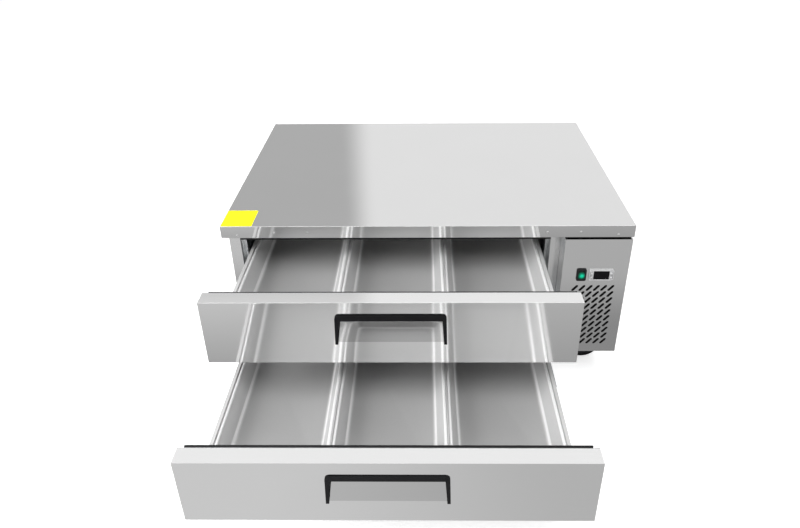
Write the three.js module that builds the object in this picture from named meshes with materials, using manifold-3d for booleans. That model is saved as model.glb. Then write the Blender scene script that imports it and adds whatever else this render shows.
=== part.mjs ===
// Refrigerated chef base: a low refrigerated cabinet on casters that carries cooking equipment on its
// stainless worktop. Two wide insulated drawers, each with three food pans, run on telescopic slides. A
// machine compartment at the right end holds the compressor, the condenser and the controls.
//
// Millimetres, +Z up, +Y towards the back, +X to the right as seen from the front. The places below are
// measured from the worktop's front edge (y = 0), its middle (x = 0) and the floor (z = 0). The whole is
// then moved in y, so that the origin is on the floor in the middle of the chef base with its drawers open.

import * as THREE from "three";
import { mergeVertices } from "three/addons/utils/BufferGeometryUtils.js";
import Module from "manifold-3d";

const wasm = await Module();
wasm.setup();

// Overall sizes
const worktopWidth = 1321;
const worktopDepth = 838;
const overallHeight = 676;
const casterHeight = 158;
const upperDrawerOpen = 302;
const lowerDrawerOpen = 620;

// Sheet metal and clearances
const topSheet = 1.5;
const sheet = 1.2;
const seatGap = 0.3;
const slideGap = 0.4;
const cutOverrun = 5;

// Cabinet sizes
const skirtHeight = 43;
const skirtLip = 12;
const skirtClearance = 0.5;
const rearOverhang = 18;
const machineWidth = 215.4;
const leftPostWidth = 37;
const rightPostWidth = 33.6;
const ceilingThickness = 41.5;
const floorThickness = 42;
const rearWallThickness = 52;
const headerDrop = 40;
const mullionHeight = 66;
const frameReturn = 24;
const panelReturn = 14;
const panelTopGap = 8.5;

// Drawer sizes
const frontTopGap = 14.5;
const frontMidGap = 19;
const frontFootGap = 5;
const frontDepth = 44;
const frontSideCover = 22;
const gasket = { inset: 14, topInset: 7, width: 18, depth: 14 };
const frontLiner = { inset: 38, raise: 6 };
const handle = {
  width: 316, height: 104, drop: 44, bar: 19, armTop: 12, armBottom: 8.5, splay: 2.4, corner: 12, proud: 3,
  pocketInset: 5, pocketDepth: 30, pocketMargin: 4, cheek: 2, lip: 6,
};
const frame = {
  heightShare: 0.63, footClearance: 6, sideClearance: 28, rearGap: 28, rearHeightShare: 0.61, footFlange: 15,
  sheet: 1.5, sideBar: 10, divider: 2.5, frontBar: 12, rearBar: 52, ledge: 7, ledgeDrop: 7,
};
const pan = {
  clearance: 2, depthShare: 0.66, rim: 8, edge: 3, taper: 18, fillet: 14, corner: 40, cornerShare: 0.25,
  sheet: 1, count: 3,
};
const slide = { rearGap: 0.2, wall: 1.6, height: 46, depth: 19.1, openEdge: 1.5, rise: 2 };
const pilaster = { width: 26, endGap: 10, frontInset: 10, rearInset: 40 };

// Caster sizes
const caster = {
  forkRoom: 31, wheelWidth: 32, trail: 38, sideInset: 109, frontInset: 152, rearInset: 110,
  plateLength: 100, plateWidth: 84, plateThickness: 4, plateCorner: 8, pinRadius: 6, pinHeadRadius: 10,
  pinHeadHeight: 4, raceRadius: 30, raceHeight: 8, legThickness: 3, legGap: 2.2, legTop: 24, bossRadius: 14,
  axleRadius: 5, axleHeadRadius: 9, axleHead: 4, hubRadius: 20, hubInset: 1, rimDepth: 13.5, webInset: 6,
  treadDepth: 9.5, treadChamfer: 5,
};
const brake = {
  x: 24, drop: 19, pinRadius: 2.5, hubRadius: 5, thickness: 3, reach: 76, kneeReach: 38, kneeDrop: 5,
  tipDrop: 26, sideClearance: 1,
};

// Machine compartment sizes
const airSlot = {
  length: 31, width: 8.5, angle: 0.89, pitchX: 24, pitchZ: 25, sideGap: 47.7, headGap: 55, footGap: 46.5,
};
const controlDrop = 131;
const controller = {
  offset: 21, width: 80, height: 41, corner: 4, proud: 5, bodyWidth: 70, bodyHeight: 29, bodyDepth: 55,
  displayWidth: 52, displayHeight: 33, displayRecess: 1.5, buttonWidth: 6, buttonHeight: 8,
  buttonProud: 1, buttonTravel: 0.8, buttonDepth: 4, buttonRow: 8,
};
const rocker = {
  offset: -44, width: 32, height: 47, corner: 5, proud: 4, wellWidth: 22, wellHeight: 34, wellDepth: 14,
  bodyWidth: 28, bodyHeight: 40, bodyDepth: 24, tilt: 0.14, crown: 6, dip: 3, back: 4, backHalf: 5,
  pivotDepth: 6, pinRadius: 1.2, endClearance: 1, sideClearance: 0.4,
};
const ventSlot = { sideGap: 47.7, height: 6, pitch: 16, count: 12, topDrop: 110 };
const gland = { rise: 42, side: 50, radius: 8, flangeRadius: 12, bore: 4.5, outside: 14, inside: 10, flange: 3 };
const pipeLine = { radius: 5, wallGap: 20, sleeve: 1, bendSteps: 3, sides: 8 };
const compressor = {
  height: 150, y: 330, pipeGap: 1.7, seam: 6, plateMargin: 15, plateThickness: 3, footRadius: 12,
  footHeight: 16, shoulder: 20, stubRise: 30, stubLevel: 60,
};
const fan = {
  shaftRadius: 3, hubRadius: 18, hubDepth: 22, hubCap: 4, bladeThickness: 2, bladeRoot: 24, bladeTip: 40,
  pitch: 0.5, blades: 5, motorRadius: 20, motorDepth: 24, strapHeight: 16, tipClearance: 4, lead: 6,
};
const coil = {
  groovePitch: 20, groove: 5, grooveShares: [0.25, 0.75], tubeRadius: 4, tubePitch: 44, seatShare: 0.12,
  bendShare: 0.95, sides: 6, bendSteps: 2, lineBend: 12,
};
const condenser = { y: 16, depth: 36, bottom: 14, sideGap: 5.4, controlGap: 6 };
const condenserFan = { gap: 10, pipeGap: 1.7, rim: 14, rise: 6, lip: 10 };
const evaporator = {
  width: 460, height: 165, drop: 13, coilEnd: 50, coilGap: 2, coilDepth: 26, coilBack: 8, rim: 24.5,
  endOpening: 100, endMargin: 10,
};

// Sides of the round pieces
const sides = { bolt: 6, pin: 8, rod: 12, shell: 16, ring: 20, wheel: 24 };

// Places that the pieces share
const bodyHalf = worktopWidth / 2 - topSheet - skirtClearance;
const bodyBack = worktopDepth - rearOverhang;
const sideInner = bodyHalf - sheet;
const underTop = overallHeight - topSheet;
const sideTop = underTop - seatGap;
const skirtBottom = overallHeight - skirtHeight;
const machineLeft = bodyHalf - machineWidth;
const machineMiddle = machineLeft + machineWidth / 2;
const cavityX = [-bodyHalf + leftPostWidth, machineLeft - rightPostWidth];
const cavityMiddle = (cavityX[0] + cavityX[1]) / 2;
const cavityZ = [casterHeight + floorThickness, underTop - ceilingThickness];
const cavityBack = bodyBack - rearWallThickness;
const linerPlateFront = frontDepth + seatGap;
const linerPlateBack = linerPlateFront + sheet;
const faceFront = linerPlateBack + seatGap + gasket.depth + seatGap;
const facePlateBack = faceFront + sheet;
const faceBack = facePlateBack + frameReturn;
const wallFront = facePlateBack + seatGap;
const floorLevel = [casterHeight + sheet + seatGap, casterHeight + sheet + seatGap + topSheet];
const standLevel = floorLevel[1] + seatGap;
const frontsTop = skirtBottom - frontTopGap;
const panelTop = skirtBottom - panelTopGap;
const frontsFoot = casterHeight + frontFootGap;
const frontHeight = (frontsTop - frontMidGap - frontsFoot) / 2;
const frontX = [cavityX[0] - frontSideCover, cavityX[1] + frontSideCover];
const mullionMiddle = frontsFoot + frontHeight + frontMidGap / 2;
const openingHeight = mullionMiddle - mullionHeight / 2 - cavityZ[0];
const originShift = (lowerDrawerOpen + handle.proud - worktopDepth) / 2;

// Materials
const steel = new THREE.MeshStandardMaterial({ color: 0xb9babb, roughness: 0.32, metalness: 1 });
const brightSteel = new THREE.MeshStandardMaterial({ color: 0xc9cacb, roughness: 0.22, metalness: 1 });
const zincSteel = new THREE.MeshStandardMaterial({ color: 0x9fa3a6, roughness: 0.4, metalness: 1 });
const aluminium = new THREE.MeshStandardMaterial({ color: 0xb4b8bc, roughness: 0.45, metalness: 1 });
const foam = new THREE.MeshStandardMaterial({ color: 0xe3d9a8, roughness: 0.95, metalness: 0 });
const rubber = new THREE.MeshStandardMaterial({ color: 0x1d1d1f, roughness: 0.8, metalness: 0 });
const blackPlastic = new THREE.MeshStandardMaterial({ color: 0x161617, roughness: 0.45, metalness: 0 });
const greyPlastic = new THREE.MeshStandardMaterial({ color: 0xcfd0d2, roughness: 0.5, metalness: 0 });
const greenPlastic = new THREE.MeshStandardMaterial({ color: 0x1f9e63, roughness: 0.25, metalness: 0 });
const blackPaint = new THREE.MeshStandardMaterial({ color: 0x202124, roughness: 0.5, metalness: 0.2 });

// Geometry helpers

/** A three.js geometry as a manifold solid. */
function solidOf(geometry) {
  const bare = geometry.index ? geometry.toNonIndexed() : geometry.clone();
  bare.deleteAttribute("normal");
  bare.deleteAttribute("uv");
  const merged = mergeVertices(bare);
  const vertProperties = new Float32Array(merged.attributes.position.array);
  const triVerts = new Uint32Array(merged.index.array);
  return new wasm.Manifold(new wasm.Mesh({ numProp: 3, vertProperties, triVerts }));
}

/** A manifold solid as a three.js geometry. */
function geometryOf(solid) {
  const mesh = solid.getMesh();
  const geometry = new THREE.BufferGeometry();
  geometry.setAttribute("position", new THREE.BufferAttribute(new Float32Array(mesh.vertProperties), 3));
  geometry.setIndex(new THREE.BufferAttribute(new Uint32Array(mesh.triVerts), 1));
  return geometry;
}

/** The geometries joined into one solid. */
function join(...geometries) {
  const solids = geometries.map(solidOf);
  return geometryOf(solids.reduce((whole, solid) => whole.add(solid)));
}

/** The first geometry with the others cut away from it. */
function cut(base, ...tools) {
  const solids = tools.map(solidOf);
  return geometryOf(solids.reduce((rest, tool) => rest.subtract(tool), solidOf(base)));
}

/** The span of a width about its middle. */
function about(middle, width) {
  return [middle - width / 2, middle + width / 2];
}

/** A span made longer by a margin at both ends, or shorter where the margin is negative. */
function grow([low, high], margin) {
  return [low - margin, high + margin];
}

/** The span between two places in either order. */
function between(a, b) {
  return [Math.min(a, b), Math.max(a, b)];
}

/** Even places from one end of a span to the other, about a pitch apart. */
function evenPlaces([low, high], pitch) {
  const count = Math.max(Math.round((high - low) / pitch), 1);
  return Array.from({ length: count + 1 }, (_, i) => low + (i * (high - low)) / count);
}

/** A box given by its span along each axis. */
function block([x0, x1], [y0, y1], [z0, z1]) {
  const box = new THREE.BoxGeometry(x1 - x0, y1 - y0, z1 - z0);
  return box.translate((x0 + x1) / 2, (y0 + y1) / 2, (z0 + z1) / 2);
}

/** A flat outline from a list of corner points. */
function outline(points) {
  return new THREE.Shape(points.map(([a, b]) => new THREE.Vector2(a, b)));
}

/** The points of a rectangle with round corners about a middle point. */
function roundedPoints(middle, width, height, radius, steps) {
  const corners = [[1, 1], [-1, 1], [-1, -1], [1, -1]];
  return corners.flatMap(([sx, sy], quarter) =>
    Array.from({ length: steps + 1 }, (_, step) => {
      const angle = (quarter + step / steps) * (Math.PI / 2);
      const a = middle[0] + sx * (width / 2 - radius) + radius * Math.cos(angle);
      const b = middle[1] + sy * (height / 2 - radius) + radius * Math.sin(angle);
      return [a, b];
    })
  );
}

/** An outline drawn in (x, y) and extruded along z. */
function alongZ(points, [z0, z1]) {
  const extrusion = new THREE.ExtrudeGeometry(outline(points), { bevelEnabled: false, depth: z1 - z0 });
  return extrusion.translate(0, 0, z0);
}

/** An outline drawn in (x, z) and extruded along y. */
function alongY(points, [y0, y1]) {
  return alongZ(points, [-y1, -y0]).rotateX(Math.PI / 2);
}

/** An outline drawn in (y, z) and extruded along x. */
function alongX(points, span) {
  const turn = new THREE.Matrix4().set(0, 0, 1, 0, 1, 0, 0, 0, 0, 1, 0, 0, 0, 0, 0, 1);
  return alongZ(points, span).applyMatrix4(turn);
}

/** A closed profile of (radius, height) points turned about the z axis. */
function turned(profile, count) {
  const points = profile.map(([r, h]) => new THREE.Vector2(r, h));
  return new THREE.LatheGeometry(points, count).rotateX(Math.PI / 2);
}

/** An upright cylinder about a place in (x, y). */
function upright([x, y], radius, [z0, z1], count = sides.rod) {
  return turned([[0, z0], [radius, z0], [radius, z1], [0, z1]], count).translate(x, y, 0);
}

/** A cylinder along y about a place in (x, z). */
function rodY([x, z], radius, [y0, y1], count = sides.rod) {
  return upright([0, 0], radius, [-y1, -y0], count).rotateX(Math.PI / 2).translate(x, 0, z);
}

/** A cylinder along x about a place in (y, z). */
function rodX([y, z], radius, span, count = sides.rod) {
  return upright([0, 0], radius, span, count).rotateY(Math.PI / 2).translate(0, y, z);
}

/** Straight runs joined by round bends, sampled at the runs' ends and in the bends. */
class Route extends THREE.Curve {
  constructor(corners, bend, bendSteps) {
    super();
    const points = corners.map((corner) => new THREE.Vector3(...corner));
    this.stations = [points[0]];
    points.slice(1, -1).forEach((corner, i) => {
      const before = corner.clone().add(points[i].clone().sub(corner).setLength(bend));
      const after = corner.clone().add(points[i + 2].clone().sub(corner).setLength(bend));
      this.stations.push(...new THREE.QuadraticBezierCurve3(before, corner, after).getPoints(bendSteps));
    });
    this.stations.push(points[points.length - 1]);
  }

  getPoint(t, target = new THREE.Vector3()) {
    const place = t * (this.stations.length - 1);
    const i = Math.min(Math.floor(place), this.stations.length - 2);
    return target.copy(this.stations[i]).lerp(this.stations[i + 1], place - i);
  }

  getUtoTmapping(u) {
    return u;
  }
}

/** A round pipe along straight runs joined by round bends. */
function pipe(corners, { radius, bend, bendSteps, sides }) {
  const route = new Route(corners, bend, bendSteps);
  const section = Array.from({ length: sides }, (_, i) => {
    const angle = (i / sides) * 2 * Math.PI;
    return [radius * Math.cos(angle), radius * Math.sin(angle)];
  });
  const run = { bevelEnabled: false, extrudePath: route, steps: route.stations.length - 1 };
  return new THREE.ExtrudeGeometry(outline(section), run);
}

/** A named mesh added to a group. */
function add(group, name, geometry, material) {
  const mesh = new THREE.Mesh(geometry, material);
  mesh.name = name;
  group.add(mesh);
}

// Cabinet

/** One folded sheet with a skirt on all four sides and a lip under the front skirt. */
function worktop() {
  const across = about(0, worktopWidth);
  const tray = cut(
    block(across, [0, worktopDepth], [skirtBottom, overallHeight]),
    block(grow(across, -topSheet), grow([0, worktopDepth], -topSheet), [skirtBottom - cutOverrun, underTop])
  );
  return join(tray, block(across, [0, skirtLip], [skirtBottom, skirtBottom + topSheet]));
}

/** A side wall, notched under the skirt, with a flange turned in at its foot. The left side is -1. */
function sidePanel(side, front) {
  const back = bodyBack - sheet - seatGap;
  const wallX = between(side * bodyHalf, side * sideInner);
  const wall = join(
    block(wallX, [front, back], [casterHeight, panelTop]),
    block(wallX, [wallFront, back], [casterHeight, sideTop])
  );
  const flangeX = between(side * bodyHalf, side * (bodyHalf - panelReturn));
  const flange = block(flangeX, [front + panelReturn, back], [casterHeight, casterHeight + sheet]);
  return join(wall, flange);
}

const glandPlace = [bodyHalf - gland.side, standLevel + gland.rise];

/** The back wall, with air slots and the cord gland's hole behind the machine compartment. */
function backPanel() {
  const through = [bodyBack - sheet - cutOverrun, bodyBack + cutOverrun];
  const slots = Array.from({ length: ventSlot.count }, (_, i) => {
    const z = sideTop - ventSlot.topDrop - i * ventSlot.pitch;
    const width = machineWidth - 2 * ventSlot.sideGap;
    return alongY(roundedPoints([machineMiddle, z], width, ventSlot.height, ventSlot.height / 2, 1), through);
  });
  return cut(
    block([-bodyHalf, bodyHalf], [bodyBack - sheet, bodyBack], [casterHeight, sideTop]),
    rodY(glandPlace, gland.radius + seatGap, through),
    ...slots
  );
}

/** The bush in the back wall that a power cord passes through. */
function cordGland() {
  const length = [bodyBack - gland.inside, bodyBack + gland.outside];
  const face = bodyBack + seatGap;
  const body = join(
    rodY(glandPlace, gland.radius, length),
    rodY(glandPlace, gland.flangeRadius, [face, face + gland.flange])
  );
  return cut(body, rodY(glandPlace, gland.bore, grow(length, cutOverrun)));
}

const casterPlaces = [
  { name: "front_left_caster", side: -1, y: caster.frontInset, braked: true },
  { name: "front_right_caster", side: 1, y: caster.frontInset, braked: true },
  { name: "rear_left_caster", side: -1, y: worktopDepth - caster.rearInset, braked: false },
  { name: "rear_right_caster", side: 1, y: worktopDepth - caster.rearInset, braked: false },
].map((place) => ({ ...place, x: place.side * (worktopWidth / 2 - caster.sideInset) }));
const raceTop = casterHeight - caster.plateThickness - seatGap;
const raceBottom = raceTop - caster.raceHeight;
const pinHeadTop = raceBottom - seatGap;
const pinHeadBottom = pinHeadTop - caster.pinHeadHeight;

const suctionPlace = [cavityBack - evaporator.coilBack - evaporator.coilDepth / 2, 0];
const evaporatorZ = [cavityZ[1] - evaporator.drop - evaporator.height, cavityZ[1] - evaporator.drop];
const evaporatorCoilZ = grow(evaporatorZ, -sheet - seatGap);
suctionPlace[1] = coilLevels(evaporatorCoilZ).pop();

/** The heights of a coil's tubes, from the bottom up. */
function coilLevels([low, high]) {
  const count = Math.max(Math.round((high - low) / coil.tubePitch), 2);
  return Array.from({ length: count }, (_, i) => low + ((i + 1 / 2) * (high - low)) / count);
}

/** The hole that the suction line needs in each wall that it passes. */
function suctionHole() {
  return rodX(suctionPlace, pipeLine.radius + pipeLine.sleeve, grow([cavityX[1], machineLeft], cutOverrun));
}

/** A floor under both compartments, with the bulkhead between them, the caster plates and their pins. */
function basePanel() {
  const across = [-sideInner + seatGap, sideInner - seatGap];
  const back = bodyBack - sheet - seatGap;
  const machineFront = panelReturn + seatGap;
  const machineStart = machineLeft + topSheet + seatGap;
  const floorSheet = alongZ(
    [
      [across[0], wallFront], [machineStart, wallFront], [machineStart, machineFront],
      [across[1], machineFront], [across[1], back], [across[0], back],
    ],
    floorLevel
  );
  const bulkhead = cut(
    block([machineLeft - sheet, machineLeft], [wallFront, back], [floorLevel[0], sideTop]),
    suctionHole()
  );
  const mountings = casterPlaces.flatMap(({ x, y }) => [
    alongZ(
      roundedPoints([x, y], caster.plateLength, caster.plateWidth, caster.plateCorner, 1),
      [casterHeight - caster.plateThickness, floorLevel[1]]
    ),
    upright([x, y], caster.pinRadius, [pinHeadBottom, casterHeight]),
    upright([x, y], caster.pinHeadRadius, [pinHeadBottom, pinHeadTop]),
  ]);
  return join(floorSheet, bulkhead, ...mountings);
}

/** A foam shell on five sides of the cold compartment. */
function cabinetInsulation() {
  const across = [-sideInner + seatGap, machineLeft - sheet - seatGap];
  const lining = sheet + seatGap;
  return cut(
    block(across, [wallFront, bodyBack - sheet - seatGap], [standLevel, sideTop]),
    block(grow(cavityX, lining), [wallFront - cutOverrun, cavityBack + lining], grow(cavityZ, lining)),
    suctionHole()
  );
}

const linerFront = faceBack + seatGap;
const pilasterDepth = frame.sideClearance - slide.depth - seatGap;

/** An upright channel on a side wall that carries the slides. */
function pilasterAt(side, front) {
  const wall = side < 0 ? cavityX[0] : cavityX[1];
  const x = (depth) => wall - side * depth;
  const [near, far] = [front, front + pilaster.width];
  return alongZ(
    [
      [x(-sheet / 2), near], [x(pilasterDepth), near], [x(pilasterDepth), far], [x(-sheet / 2), far],
      [x(-sheet / 2), far - sheet], [x(pilasterDepth - sheet), far - sheet],
      [x(pilasterDepth - sheet), near + sheet], [x(-sheet / 2), near + sheet],
    ],
    grow(cavityZ, -pilaster.endGap)
  );
}

const motorReach = fan.lead + fan.hubDepth + seatGap + fan.motorDepth;
const evaporatorDepth = evaporator.coilBack + evaporator.coilDepth + evaporator.coilGap + motorReach;
const evaporatorY = [cavityBack - evaporatorDepth, cavityBack - seatGap];
const frameX = grow(cavityX, -frame.sideClearance);
const frameY = [linerPlateBack + frontLiner.raise + seatGap, evaporatorY[0] - frame.rearGap];
const slideY = [wallFront, frameY[1] - slide.rearGap];

/** The cold compartment's lining, with the pilasters on its side walls. */
function innerLiner() {
  const tub = cut(
    block(grow(cavityX, sheet), [linerFront, cavityBack + sheet], grow(cavityZ, sheet)),
    block(cavityX, [linerFront - cutOverrun, cavityBack], cavityZ),
    suctionHole()
  );
  const fronts = [linerFront + pilaster.frontInset, slideY[1] - pilaster.rearInset - pilaster.width];
  const pilasters = [-1, 1].flatMap((side) => fronts.map((front) => pilasterAt(side, front)));
  return join(tub, ...pilasters);
}

/** The face frame: one opening for each drawer, its edges turned back to the lining. */
function faceFrame() {
  const openings = [
    [cavityZ[0], mullionMiddle - mullionHeight / 2],
    [mullionMiddle + mullionHeight / 2, cavityZ[1] - headerDrop],
  ];
  const plate = block([-bodyHalf, machineLeft - seatGap], [faceFront, facePlateBack], [casterHeight, sideTop]);
  const sleeves = openings.map((z) => block(grow(cavityX, sheet), [faceFront, faceBack], grow(z, sheet)));
  const holes = openings.map((z) => block(cavityX, grow([faceFront, faceBack], cutOverrun), z));
  return cut(join(plate, ...sleeves), ...holes);
}

// Machine compartment

const controlLevel = frontsTop - controlDrop;
const controllerPlace = [machineMiddle + controller.offset, controlLevel];
const rockerPlace = [machineMiddle + rocker.offset, controlLevel];

/** The machine compartment's front: a folded sheet with slanted air slots and holes for the controls. */
function machinePanel() {
  const z = [casterHeight, panelTop];
  const right = sideInner - seatGap;
  const through = grow([0, topSheet], cutOverrun);
  const sheetMetal = join(
    block([machineLeft, bodyHalf], [0, topSheet], z),
    block([machineLeft, machineLeft + topSheet], [0, faceFront - seatGap], z),
    block([right - topSheet, right], [0, panelReturn], z),
    block([machineLeft, right], [0, panelReturn], [panelTop - topSheet, panelTop])
  );
  const columns = evenPlaces(grow([machineLeft, bodyHalf], -airSlot.sideGap), airSlot.pitchX);
  const rows = evenPlaces([casterHeight + airSlot.footGap, controlLevel - airSlot.headGap], airSlot.pitchZ);
  const slotPoints = roundedPoints([0, 0], airSlot.length, airSlot.width, airSlot.width / 2, 1);
  const slots = rows.flatMap((level) =>
    columns.map((x) => alongY(slotPoints, through).rotateY(-airSlot.angle).translate(x, 0, level))
  );
  const holes = [
    hole(controllerPlace, controller.bodyWidth, controller.bodyHeight, through),
    hole(rockerPlace, rocker.bodyWidth, rocker.bodyHeight, through),
  ];
  return cut(sheetMetal, ...slots, ...holes);
}

/** A box hole along y for a body of the given size, with the seat clearance round it. */
function hole([x, z], width, height, through) {
  return block(about(x, width + 2 * seatGap), through, about(z, height + 2 * seatGap));
}

/** The places of the four buttons, two at each end of the controller, between its display and its edge. */
const buttonColumn = (controller.width + controller.displayWidth) / 4;
const buttonPlaces = [
  { name: "controller_button_upper_left", column: -1, row: 1 },
  { name: "controller_button_lower_left", column: -1, row: -1 },
  { name: "controller_button_upper_right", column: 1, row: 1 },
  { name: "controller_button_lower_right", column: 1, row: -1 },
].map(({ name, column, row }) => ({
  name,
  place: [
    controllerPlace[0] + column * buttonColumn,
    controllerPlace[1] + row * controller.buttonRow,
  ],
}));

/** The temperature controller: a bezel, a recess for its display, and a body behind the panel. */
function controllerCase() {
  const [x, z] = controllerPlace;
  const face = -controller.proud;
  const bezel = alongY(
    roundedPoints([x, z], controller.width, controller.height, controller.corner, 2),
    [face, -seatGap]
  );
  const body = block(
    about(x, controller.bodyWidth),
    [-seatGap - sheet, controller.bodyDepth],
    about(z, controller.bodyHeight)
  );
  const display = block(
    about(x, controller.displayWidth),
    [face - cutOverrun, face + controller.displayRecess],
    about(z, controller.displayHeight)
  );
  const wells = buttonPlaces.map(({ place }) =>
    hole(place, controller.buttonWidth, controller.buttonHeight, [face - cutOverrun, face + controller.buttonDepth])
  );
  return cut(join(bezel, body), display, ...wells);
}

/** A controller button, proud of the bezel and with room behind it for its travel. */
function controllerButton([x, z]) {
  const face = -controller.proud;
  const end = face + controller.buttonDepth - controller.buttonTravel - seatGap;
  return block(
    about(x, controller.buttonWidth),
    [face - controller.buttonProud, end],
    about(z, controller.buttonHeight)
  );
}

/** The power switch's housing: a rim, a well for the rocker and the pin that it turns on. */
function switchHousing() {
  const [x, z] = rockerPlace;
  const face = -rocker.proud;
  const rim = alongY(roundedPoints([x, z], rocker.width, rocker.height, rocker.corner, 2), [face, -seatGap]);
  const body = block(
    about(x, rocker.bodyWidth),
    [-seatGap - sheet, rocker.bodyDepth],
    about(z, rocker.bodyHeight)
  );
  const well = block(
    about(x, rocker.wellWidth),
    [face - cutOverrun, face + rocker.wellDepth],
    about(z, rocker.wellHeight)
  );
  const pin = rodX([face + rocker.pivotDepth, z], rocker.pinRadius, about(x, rocker.wellWidth + sheet), sides.pin);
  return join(cut(join(rim, body), well), pin);
}

/** The rocker, pressed in at its upper end. */
function switchRocker() {
  const half = rocker.wellHeight / 2 - rocker.endClearance;
  const profile = [
    [-rocker.crown, 0], [-rocker.dip, half], [rocker.back / 2, half], [rocker.back, rocker.backHalf],
    [rocker.back, -rocker.backHalf], [rocker.back / 2, -half], [-rocker.dip, -half],
  ];
  const width = rocker.wellWidth - 2 * rocker.sideClearance;
  const body = cut(
    alongX(profile, about(0, width)),
    rodX([0, 0], rocker.pinRadius + seatGap, grow(about(0, width), cutOverrun), sides.pin)
  );
  const [x, z] = rockerPlace;
  return body.rotateX(-rocker.tilt).translate(x, -rocker.proud + rocker.pivotDepth, z);
}

/** How far the bends of a coil's tube stand out at its ends. */
function bendReach(z) {
  const [low, high] = coilLevels(z);
  return (high - low) / 2 + coil.tubeRadius;
}

/** A finned coil: a core with grooves between its fins, and the bends of its tube at both ends. */
function finnedCoil(x, y, z) {
  const count = Math.floor((x[1] - x[0]) / coil.groovePitch);
  const pitch = (x[1] - x[0]) / count;
  const comb = (edge, depth) =>
    Array.from({ length: count }, (_, i) => {
      const [near, far] = coil.grooveShares.map((share) => x[0] + (i + share) * pitch);
      return [[near, edge], [near, depth], [far, depth], [far, edge]];
    }).flat();
  const core = alongZ(
    [
      [x[0], y[0]], ...comb(y[0], y[0] + coil.groove), [x[1], y[0]],
      [x[1], y[1]], ...comb(y[1], y[1] - coil.groove).reverse(), [x[0], y[1]],
    ],
    z
  );
  const middle = (y[0] + y[1]) / 2;
  const levels = coilLevels(z);
  const rise = levels[1] - levels[0];
  const bends = levels.slice(1).map((high, i) => {
    const side = i % 2 === 0 ? -1 : 1;
    const end = side < 0 ? x[0] : x[1];
    const [inner, outer] = [end - side * coil.seatShare * pitch, end + (side * rise) / 2];
    return pipe(
      [[inner, middle, levels[i]], [outer, middle, levels[i]], [outer, middle, high], [inner, middle, high]],
      { ...coil, radius: coil.tubeRadius, bend: (coil.bendShare * rise) / 2 }
    );
  });
  return join(core, ...bends);
}

const rightPipeX = bodyHalf - pipeLine.wallGap;
const leftPipeX = machineLeft + pipeLine.wallGap;
const stubTop = standLevel + compressor.stubLevel + compressor.footHeight + compressor.stubRise;
const condenserY = [condenser.y, condenser.y + condenser.depth];
const condenserZ = [standLevel + condenser.bottom, controlLevel - rocker.height / 2 - condenser.controlGap];
const condenserX = grow([machineLeft, bodyHalf], -condenser.sideGap - bendReach(condenserZ));

/** The condenser on its two feet, with the hot gas line that comes from the compressor. */
function condenserCoil() {
  const middle = (condenserY[0] + condenserY[1]) / 2;
  const level = coilLevels(condenserZ).pop();
  const feet = condenserX.map((x, i) =>
    block(between(x, x + (i ? -1 : 1) * coil.groovePitch), condenserY, [standLevel, condenserZ[0] + sheet])
  );
  const hotGasLine = pipe(
    [
      [condenserX[1] - sheet, middle, level], [rightPipeX, middle, level],
      [rightPipeX, compressor.y, level], [rightPipeX, compressor.y, stubTop + seatGap],
    ],
    { ...pipeLine, bend: coil.lineBend, radius: coil.tubeRadius }
  );
  return join(finnedCoil(condenserX, condenserY, condenserZ), ...feet, hotGasLine);
}

/** A strap behind a plate that carries a fan's motor and its shaft. */
function motorStrap([x, z], plateY, half) {
  const back = plateY + motorReach;
  const levels = about(z, fan.strapHeight);
  const strap = alongZ(
    [
      [x - half, plateY], [x - half, back], [x + half, back], [x + half, plateY],
      [x + half - sheet, plateY], [x + half - sheet, back - sheet],
      [x - half + sheet, back - sheet], [x - half + sheet, plateY],
    ],
    levels
  );
  const motorFront = back - fan.motorDepth;
  const shaftTip = motorFront - fan.hubDepth + fan.hubCap + seatGap;
  return [
    strap,
    rodY([x, z], fan.motorRadius, [motorFront, back]),
    rodY([x, z], fan.shaftRadius, [shaftTip, motorFront + fan.hubCap], sides.pin),
  ];
}

/** A fan: a hub with a blind bore for the motor's shaft, and pitched blades. */
function fanRotor([x, z], plateY, radius) {
  const hub = [plateY + fan.lead - seatGap, plateY + fan.lead + fan.hubDepth - seatGap];
  const middle = (hub[0] + hub[1]) / 2;
  const root = fan.hubRadius - fan.bladeThickness;
  const blades = Array.from({ length: fan.blades }, (_, i) => {
    const blade = alongY(
      [[root, -fan.bladeRoot / 2], [radius, -fan.bladeTip / 2], [radius, fan.bladeTip / 2], [root, fan.bladeRoot / 2]],
      about(0, fan.bladeThickness)
    );
    return blade.rotateX(fan.pitch).rotateY((i / fan.blades) * 2 * Math.PI).translate(x, middle, z);
  });
  const body = join(rodY([x, z], fan.hubRadius, hub, sides.shell), ...blades);
  const bore = [hub[0] + fan.hubCap, hub[1] + cutOverrun];
  return cut(body, rodY([x, z], fan.shaftRadius + seatGap, bore, sides.pin));
}

const condenserFanPlace = [machineMiddle, (condenserZ[0] + condenserZ[1]) / 2];
const condenserFanY = condenserY[1] + condenserFan.gap;
const condenserFanHalf = machineWidth / 2 - pipeLine.wallGap - coil.tubeRadius - condenserFan.pipeGap;
const condenserFanRadius = condenserFanHalf - condenserFan.rim;

/** The plate behind the condenser that the fan blows through, with its flanges and the motor. */
function condenserFanMount() {
  const across = about(machineMiddle, 2 * condenserFanHalf);
  const z = [standLevel, condenserZ[1] + condenserFan.rise];
  const plateY = [condenserFanY, condenserFanY + sheet];
  const tip = condenserFanRadius + fan.tipClearance;
  const flange = block(across, [condenserFanY - condenserFan.lip, plateY[1]], [z[1] - sheet, z[1]]);
  return join(
    cut(block(across, plateY, z), rodY(condenserFanPlace, tip, grow(plateY, cutOverrun), sides.ring)),
    flange,
    ...motorStrap(condenserFanPlace, condenserFanY, condenserFanHalf)
  );
}

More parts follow.
